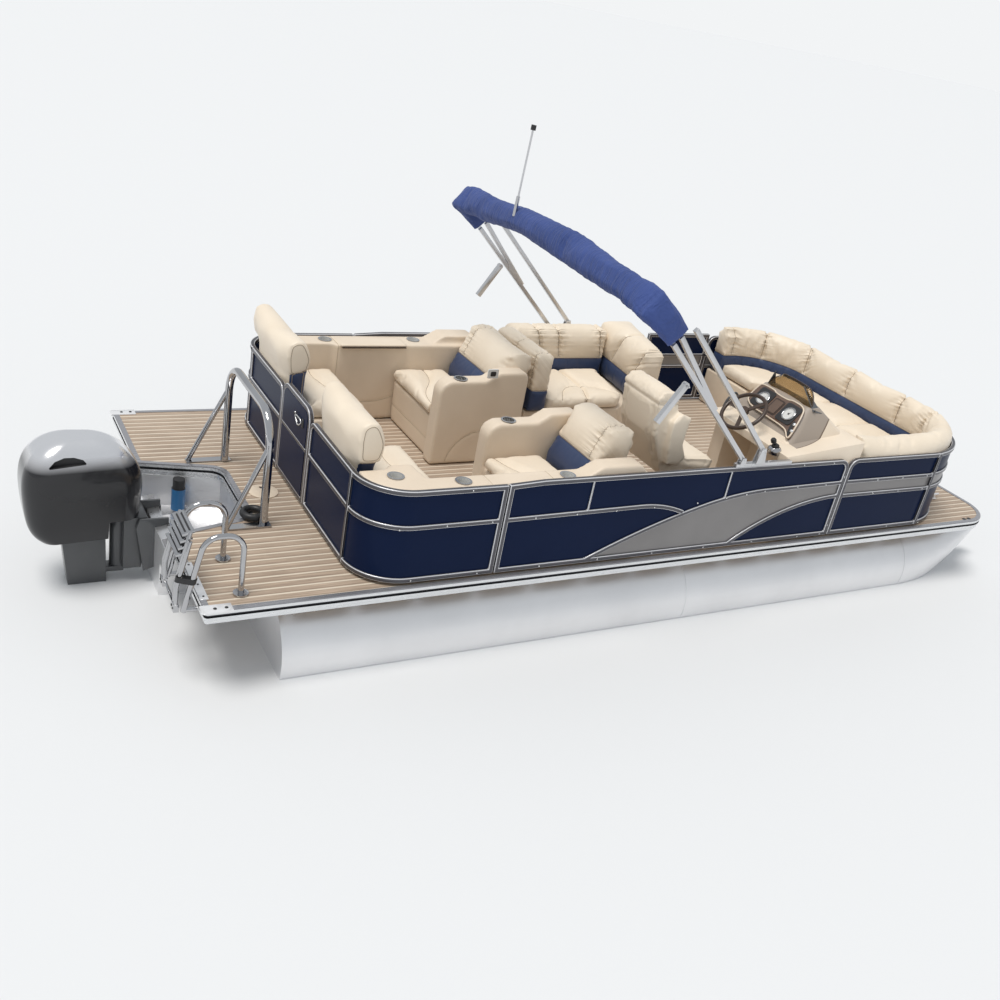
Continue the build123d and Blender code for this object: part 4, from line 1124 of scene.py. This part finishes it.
dash = {"middle": (4.1426, 0.8205), "lean": 47.5, "thick": 0.012,
        "outline": [(-0.497, -0.106), (-0.497, 0.058), (-0.515, 0.082), (-0.640, 0.086), (-0.672, 0.070),
                    (-0.800, 0.070), (-0.832, 0.086), (-0.955, 0.084), (-0.996, 0.020), (-1.050, -0.150),
                    (-1.040, -0.172), (-1.000, -0.140), (-0.960, -0.118), (-0.840, -0.112)],
        "gauges": ((-0.622, -0.014), (-0.902, -0.018)), "dial": 0.046, "bezel": 0.150, "bezelRound": 0.022,
        "panel": ((-0.806, -0.086), (-0.706, 0.046)), "keys": ((-1.006, -0.062), (-1.030, -0.112)),
        "strip": [(-0.985, -0.020), (-1.040, -0.150), (-1.018, -0.158), (-0.972, -0.070)],
        "ticks": 28, "tickFrom": -40, "tickSpan": 260, "needle": 0.030, "needleTurn": 125, "needleHalf": 0.0016,
        "piping": 0.0055}


def buildDash():
    lean = math.radians(dash["lean"])
    place, rise = at(dash["middle"][0], 0, dash["middle"][1]), Vector((math.cos(lean), 0, math.sin(lean)))
    out = -port.cross(rise)
    face = dash["thick"]

    def flat(outline, low, high):
        return prism(outline, place, port, rise, -high, -low)

    def spot(a, b, lift):
        return place + port * a + rise * b + out * lift

    outline = softened(dash["outline"], 2)
    parts = [(flat(outline, -0.012, face), "dash_wood")]
    size, dial = dash["bezel"] / 2, dash["dial"]
    for a, b in dash["gauges"]:
        bezel = roundedRect((a - size + 0.006, b - size), (a + size + 0.006, b + size + 0.006), dash["bezelRound"])
        sweep = math.radians(dash["needleTurn"])
        tip = Vector((math.cos(sweep), math.sin(sweep))) * dash["needle"]
        side = Vector((-tip.y, tip.x)).normalized() * dash["needleHalf"]
        needle = [(a - side.x, b - side.y), (a + side.x, b + side.y), (a + tip.x, b + tip.y)]
        parts += [(flat(bezel, face - 0.004, face + 0.006), "black_plastic"),
                  (disc(dial + 0.002, 0.010, place=spot(a, b, face), axis=out), "dial_pale"),
                  (ringAround(dial + 0.003, 0.006, spot(a, b, face + 0.010), out), "stainless"),
                  (turned([(0.008, 0), (0.006, 0.006)], spot(a, b, face + 0.009), out, 16), "black_plastic"),
                  (flat(needle, face + 0.0105, face + 0.0125), "black_plastic")]
    low, high = dash["panel"]
    inner = roundedRect((low[0] + 0.012, low[1] + 0.012), (high[0] - 0.012, high[1] - 0.012), 0.010)
    parts += [(flat(roundedRect(low, high, 0.016), face - 0.003, face + 0.003), "wheel_brown"),
              (flat(inner, face, face + 0.006), "pod_brown"),
              (flat(softened(dash["strip"], 2), face - 0.002, face + 0.004), "black_plastic")]
    parts += [(disc(0.013, 0.006, (0.009, 0.012), (0.004, 0.013), place=spot(a, b, face + 0.002), axis=out,
                    sides=20), "bright_head") for a, b in dash["keys"]]
    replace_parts(assemble("dashPanel", parts, "hull", "dash_wood", 0.0012, 1), "helm_dash")
    tube("dashPiping", [spot(p.x, p.y, face) for p in outline], True, "base_cream", dash["piping"], 8, "hull",
         "base_cream")
    turns = [math.radians(dash["tickFrom"] + dash["tickSpan"] * step / (dash["ticks"] - 1))
             for step in range(dash["ticks"])]
    reach = dial * 0.82
    ticks = [spot(a + reach * math.cos(angle), b + reach * math.sin(angle), face + 0.0102)
             for a, b in dash["gauges"] for angle in turns]
    grow(pointsMesh("gaugeTicks", ticks, [out] * len(ticks)), "heads", "black_plastic", "hull", "black_plastic",
         Radius=0.0016, Height=0.001, Sides=6)


screen = {"foot": (4.215, 0.878), "top": (4.262, 1.002), "span": (-0.955, -0.492), "topSpan": (-0.845, -0.520),
          "thick": 0.006, "levels": 7, "columns": 17, "bow": 0.045, "rim": 0.0048,
          # a wing's y, the lean of its tip, and the side its screw is on
          "wings": ((-0.985, 0.165, -1), (-0.487, -0.034, 1))}


def buildScreen():
    # a smoked screen on the dash's upper edge, bowed forward in the middle, with a wing at either end
    levels, columns = screen["levels"], screen["columns"]
    (footX, footZ), (topX, topZ) = screen["foot"], screen["top"]
    low, high = screen["span"]
    half = (high - low) / 2
    halfTop = (screen["topSpan"][1] - screen["topSpan"][0]) / 2
    verts, faces = [], []
    for side in (0, 1):
        for level in range(levels):
            part = level / (levels - 1)
            for column in range(columns):
                share = column / (columns - 1) * 2 - 1
                y = (low + high) / 2 + share * (half + (halfTop - half) * part ** 2)
                x = footX + (topX - footX) * part + screen["bow"] * (1 - share ** 2)
                x += 0.035 * max(0, abs(share) - 0.75) * 4
                z = footZ + (topZ - footZ) * part - 0.010 * (1 - share ** 2) * part
                z -= 0.03 * max(0, abs(share) - 0.7) ** 2 * 11 * part
                verts.append(at(x + side * screen["thick"], y, z))
    count = levels * columns
    for level in range(levels - 1):
        for column in range(columns - 1):
            a = level * columns + column
            faces.append((a, a + 1, a + columns + 1, a + columns))
            faces.append(tuple(count + i for i in (a, a + columns, a + columns + 1, a + 1)))
    border = [level * columns for level in range(levels - 1)] + [(levels - 1) * columns + c for c in range(columns - 1)]
    border += [level * columns + columns - 1 for level in range(levels - 1, 0, -1)] + list(range(columns - 1, 0, -1))
    for a, b in zip(border, border[1:] + border[:1]):
        faces.append((a, b, b + count, a + count))
    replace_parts(assemble("smokedScreen", [((verts, faces), "screen_tint")], "hull", "screen_tint"), "helm_windscreen")
    rim = [verts[i].lerp(verts[i + count], 0.5) for i in border[:levels + columns + levels - 3]]
    tube("screenRim", rim, False, "wheel_brown", screen["rim"], 8, "hull", "wheel_brown")
    parts = []
    for y, lean, side in screen["wings"]:
        foot, ahead, tip = at(4.250, y, 0.866), at(4.345, y, 0.850), at(4.262, y + lean, 0.992)
        parts += [(prism([(0, 0), (1, 0), (0.06, 1), (0, 1)], foot, ahead - foot, tip - foot, 0, 0.005), "engine_grey"),
                  (turned([(0.008, 0), (0.006, 0.004)], at(4.262, y + side * 0.004, 0.876), (0, side, 0), 12),
                   "black_plastic")]
    assemble("screenWings", parts, "hull", "engine_grey", 0.001, 1)


helmSmalls = {"throttle": (3.870, -1.100, 0.655), "lean": (-0.55, 0, 1), "grabRadius": 0.009,
              "grab": [(4.06, 0.715), (4.03, 0.790), (3.99, 0.800), (3.94, 0.735), (3.93, 0.690)], "grabY": -0.455}


def buildHelmSmalls():
    # the throttle on its silver base, and a grab rail beside the wheel
    x, y, z = helmSmalls["throttle"]
    lean = helmSmalls["lean"]
    parts = [(turned([(0.048, -0.030), (0.048, 0.004), (0.040, 0.016), (0.020, 0.020)], at(x, y, z), up),
              "stainless"),
             (turned([(0.026, -0.014), (0.026, 0.014)], at(x, y, z + 0.018), port, 24), "black_plastic"),
             (turned([(0.009, 0), (0.008, 0.050)], at(x, y, z + 0.010), lean, 12), "black_plastic"),
             (turned([(0.012, 0), (0.019, 0.010), (0.020, 0.028), (0.013, 0.040)], at(x - 0.022, y, z + 0.046),
                     lean, 16), "black_plastic")]
    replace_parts(assemble("throttleLever", parts, "hull", "black_plastic", 0.0015), "helm_throttle")
    grab = softened([at(x, helmSmalls["grabY"], z) for x, z in helmSmalls["grab"]], 2, False)
    tube("helmGrabRail", grab, False, "engine_grey", helmSmalls["grabRadius"], 10, "hull", "engine_grey")


ladderDress = {"legs": (-0.826, -0.858, -1.119, -1.087), "height": 0.113, "strap": ((-0.094, -1.119), (-0.035, -1.155)),
               "strapFaces": (0.0215, 0.0175), "strapHalf": 0.014, "steps": 24, "treads": 4, "treadLean": 15,
               "plate": ((0.004, -1.180, 0.001), (0.050, -0.800, 0.008)), "heads": (-1.15, -1.03, -0.94, -0.825)}


def buildLadderDress():
    parts = []
    for y in ladderDress["legs"]:
        parts += [(disc(0.011, 0.016, (0.008, 0.019), place=at(-0.105, y, -0.052), sides=14), "black_plastic"),
                  (turned([(0.0075, 0), (0.006, 0.004)], at(-0.119, y, -0.064), -fore, 12), "black_plastic")]
    # dark grip strips in the treads
    tilt = math.radians(ladderDress["treadLean"])
    rise = Vector((math.cos(tilt), 0, math.sin(tilt)))
    strip = roundedRect((-0.100, -0.005), (0.100, 0.005), 0.004, 3)
    parts += [(prism(strip, at(-0.078 + 0.009 * i, -0.9725, 0.240 + 0.040 * i) + rise * shift, port, rise, -0.0072,
                     -0.0040), "black_plastic") for i in range(ladderDress["treads"]) for shift in (-0.012, 0.012)]
    assemble("ladderCaps", parts, "ladder", "black_plastic", 0.0008, 1)
    # the strap runs round the outer leg and the hoop beside it
    leg, hoop = (Vector(spot) for spot in ladderDress["strap"])
    along = (hoop - leg).normalized()
    across = Vector((-along.y, along.x))
    count, half = ladderDress["steps"], ladderDress["strapHalf"]
    turns = [2 * math.pi * step / count for step in range(count)]
    ring = [(hoop if math.cos(angle) > 0 else leg, along * math.cos(angle) + across * math.sin(angle))
            for angle in turns]
    spots = [(middle + away * reach, level) for reach in ladderDress["strapFaces"] for level in (-half, half)
             for middle, away in ring]
    verts = [at(spot.x + 0.2 * level, spot.y, ladderDress["height"] + level) for spot, level in spots]
    faces = []
    for i in range(count):
        j = (i + 1) % count
        faces += [(i, j, count + j, count + i), (2 * count + j, 2 * count + i, 3 * count + i, 3 * count + j),
                  (j, i, 2 * count + i, 2 * count + j), (count + i, count + j, 3 * count + j, 3 * count + i)]
    assemble("ladderStrap", [((verts, faces), "black_plastic")], "ladder", "black_plastic")
    heads = [(turned([(0.007, 0), (0.005, 0.003)], at(0.028, y, 0.008), up, 10), "black_plastic")
             for y in ladderDress["heads"]]
    assemble("ladderPlate", [(box(*ladderDress["plate"]), "trim_bright")] + heads, "hull", "stainless", 0.001, 1)


caps = {"x": (-0.016, 0.150), "y": (1.232, 1.3105), "corner": 0.012, "top": 0.0045, "foot": -0.004,
        "heads": ((0.058, 1.272), (0.118, 1.272))}


def buildCornerCaps():
    # a formed cap over each stern corner of the deck's edge, held by two fasteners
    (aft, ahead), (low, high), cut = caps["x"], caps["y"], caps["corner"]
    parts = []
    for side in (-1, 1):
        outline = [(aft, side * low), (aft, side * (high - cut)), (aft + cut, side * high), (ahead, side * high),
                   (ahead, side * low)]
        parts.append((prism(outline, origin, fore, port, caps["foot"], caps["top"]), "trim_bright"))
        parts += [(disc(0.010, 0.002, (0.006, 0.005), place=at(x, side * y, caps["top"]), sides=12), "black_plastic")
                  for x, y in caps["heads"]]
    assemble("sternCornerCaps", parts, "hull", "trim_aluminium", 0.0015)


gatePull = {"face": 0.846, "radius": 0.0048, "loop": [(-0.022, 0.542), (-0.161, 0.542), (-0.090, 0.482),
                                                      (-0.049, 0.510)]}


def buildGatePull():
    loop = [at(gatePull["face"], y, z) for y, z in softened(gatePull["loop"], 1)]
    tube("gatePull", loop, True, "bright_head", gatePull["radius"], 8, "stern_gate", "stainless")
    seat = [(box((0.850, -0.168, 0.500), (0.868, -0.140, 0.556)), "black_plastic"),
            (turned([(0.010, 0), (0.008, 0.008)], at(0.848, -0.030, 0.548), -fore, 14), "stainless")]
    assemble("gatePullSeat", seat, "stern_gate", "stainless", 0.002)


smalls = {"switch": (2.342, 0.700), "switchBack": -0.200,
          # half the width, the front's place, the finish
          "plates": ((0.042, -0.190, "dial_pale"), (0.022, -0.188, "black_plastic")),
          "edge": ((1.530, 0.986, 0.5885), (2.035, 1.010, 0.5955)), "holes": (-0.045, 0.045),
          "slots": (6.020, 6.075)}


def buildSmallParts():
    # the switch plate in the port arm, the tray's edge, black discs as painted shade in the deck plate's finger holes,
    # slots in the bow trim
    x, z = smalls["switch"]
    plates = [(prism(roundedRect((x - half, z - half * 0.8), (x + half, z + half * 0.8), 0.010), origin, fore, up,
                     smalls["switchBack"], front), finish) for half, front, finish in smalls["plates"]]
    assemble("armSwitch", plates, "hull", "black_plastic", 0.001, 1)
    assemble("trayEdge", [(box(*smalls["edge"]), "wheel_brown")], "hull", "wheel_brown")
    low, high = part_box("deck_plate")
    middle = (low + high) / 2
    # painted shade: black discs stand for the dark inside of the finger holes, which are not cut
    holes = [(turned([(0.010, -0.002), (0.010, 0.0006)], Vector((middle.x, middle.y + shift, high.z)), up, 14),
              "black_plastic") for shift in smalls["holes"]]
    assemble("deckPlateHoles", holes, "hull", "black_plastic")
    slots = [(box((x, -1.262, 0.0035), (x + 0.030, -1.236, 0.0055)), "black_plastic") for x in smalls["slots"]]
    assemble("bowTrimSlots", slots, "hull", "black_plastic", 0.001, 1)


recoloured = [
    # piece or node, finish, which of its faces: the filter's can, the light's fittings, the well's floor, the
    # cups' insides, the cowl's intake; and two whole nodes
    ("well_fittings", "filter_blue", lambda x, y, z, n: y > 0.2 and z < -0.13),
    ("stern_light", "black_plastic", lambda x, y, z, n: z > 2.325),
    ("stern_light", "stainless", lambda x, y, z, n: z < 1.91),
    ("motor_pod_eased", "frame_silver", lambda x, y, z, n: n.z > 0.9),
    # the cups' insides: pale grey paint in place of their metal, a painted reflection that makes them read bright
    ("cup_holders", "dial_pale", lambda x, y, z, n: n.z < 0.9 and z < 0.60 or n.z > 0.9 and z < 0.57),
    ("bow_cleats_eased", "trim_bright", lambda x, y, z, n: True),
    ("engine_cowl", "black_plastic", lambda x, y, z, n: -0.607 < x < -0.391 and 0.306 < z < 0.366
     and (abs(n.y) > 0.95 and abs(y) < 0.15 or abs(n.y) < 0.15)),
    ("helm_console_eased", "helm_cream", lambda x, y, z, n: True),
]


def dressByPlace():
    for name, finish, test in recoloured:
        mesh = (bpy.data.objects if name in bpy.data.objects else frame["nodes"])[name].data
        mesh.materials.append(finishes[finish])
        for face in mesh.polygons:
            x, y, z = face.center
            if test(x - sternX, y, z - deckZ, face.normal):
                face.material_index = len(mesh.materials) - 1


for build in (buildScrews, buildDash, buildScreen, buildHelmSmalls, buildLadderDress, buildCornerCaps,
              buildGatePull, buildSmallParts, dressByPlace):
    build()
print("details made")
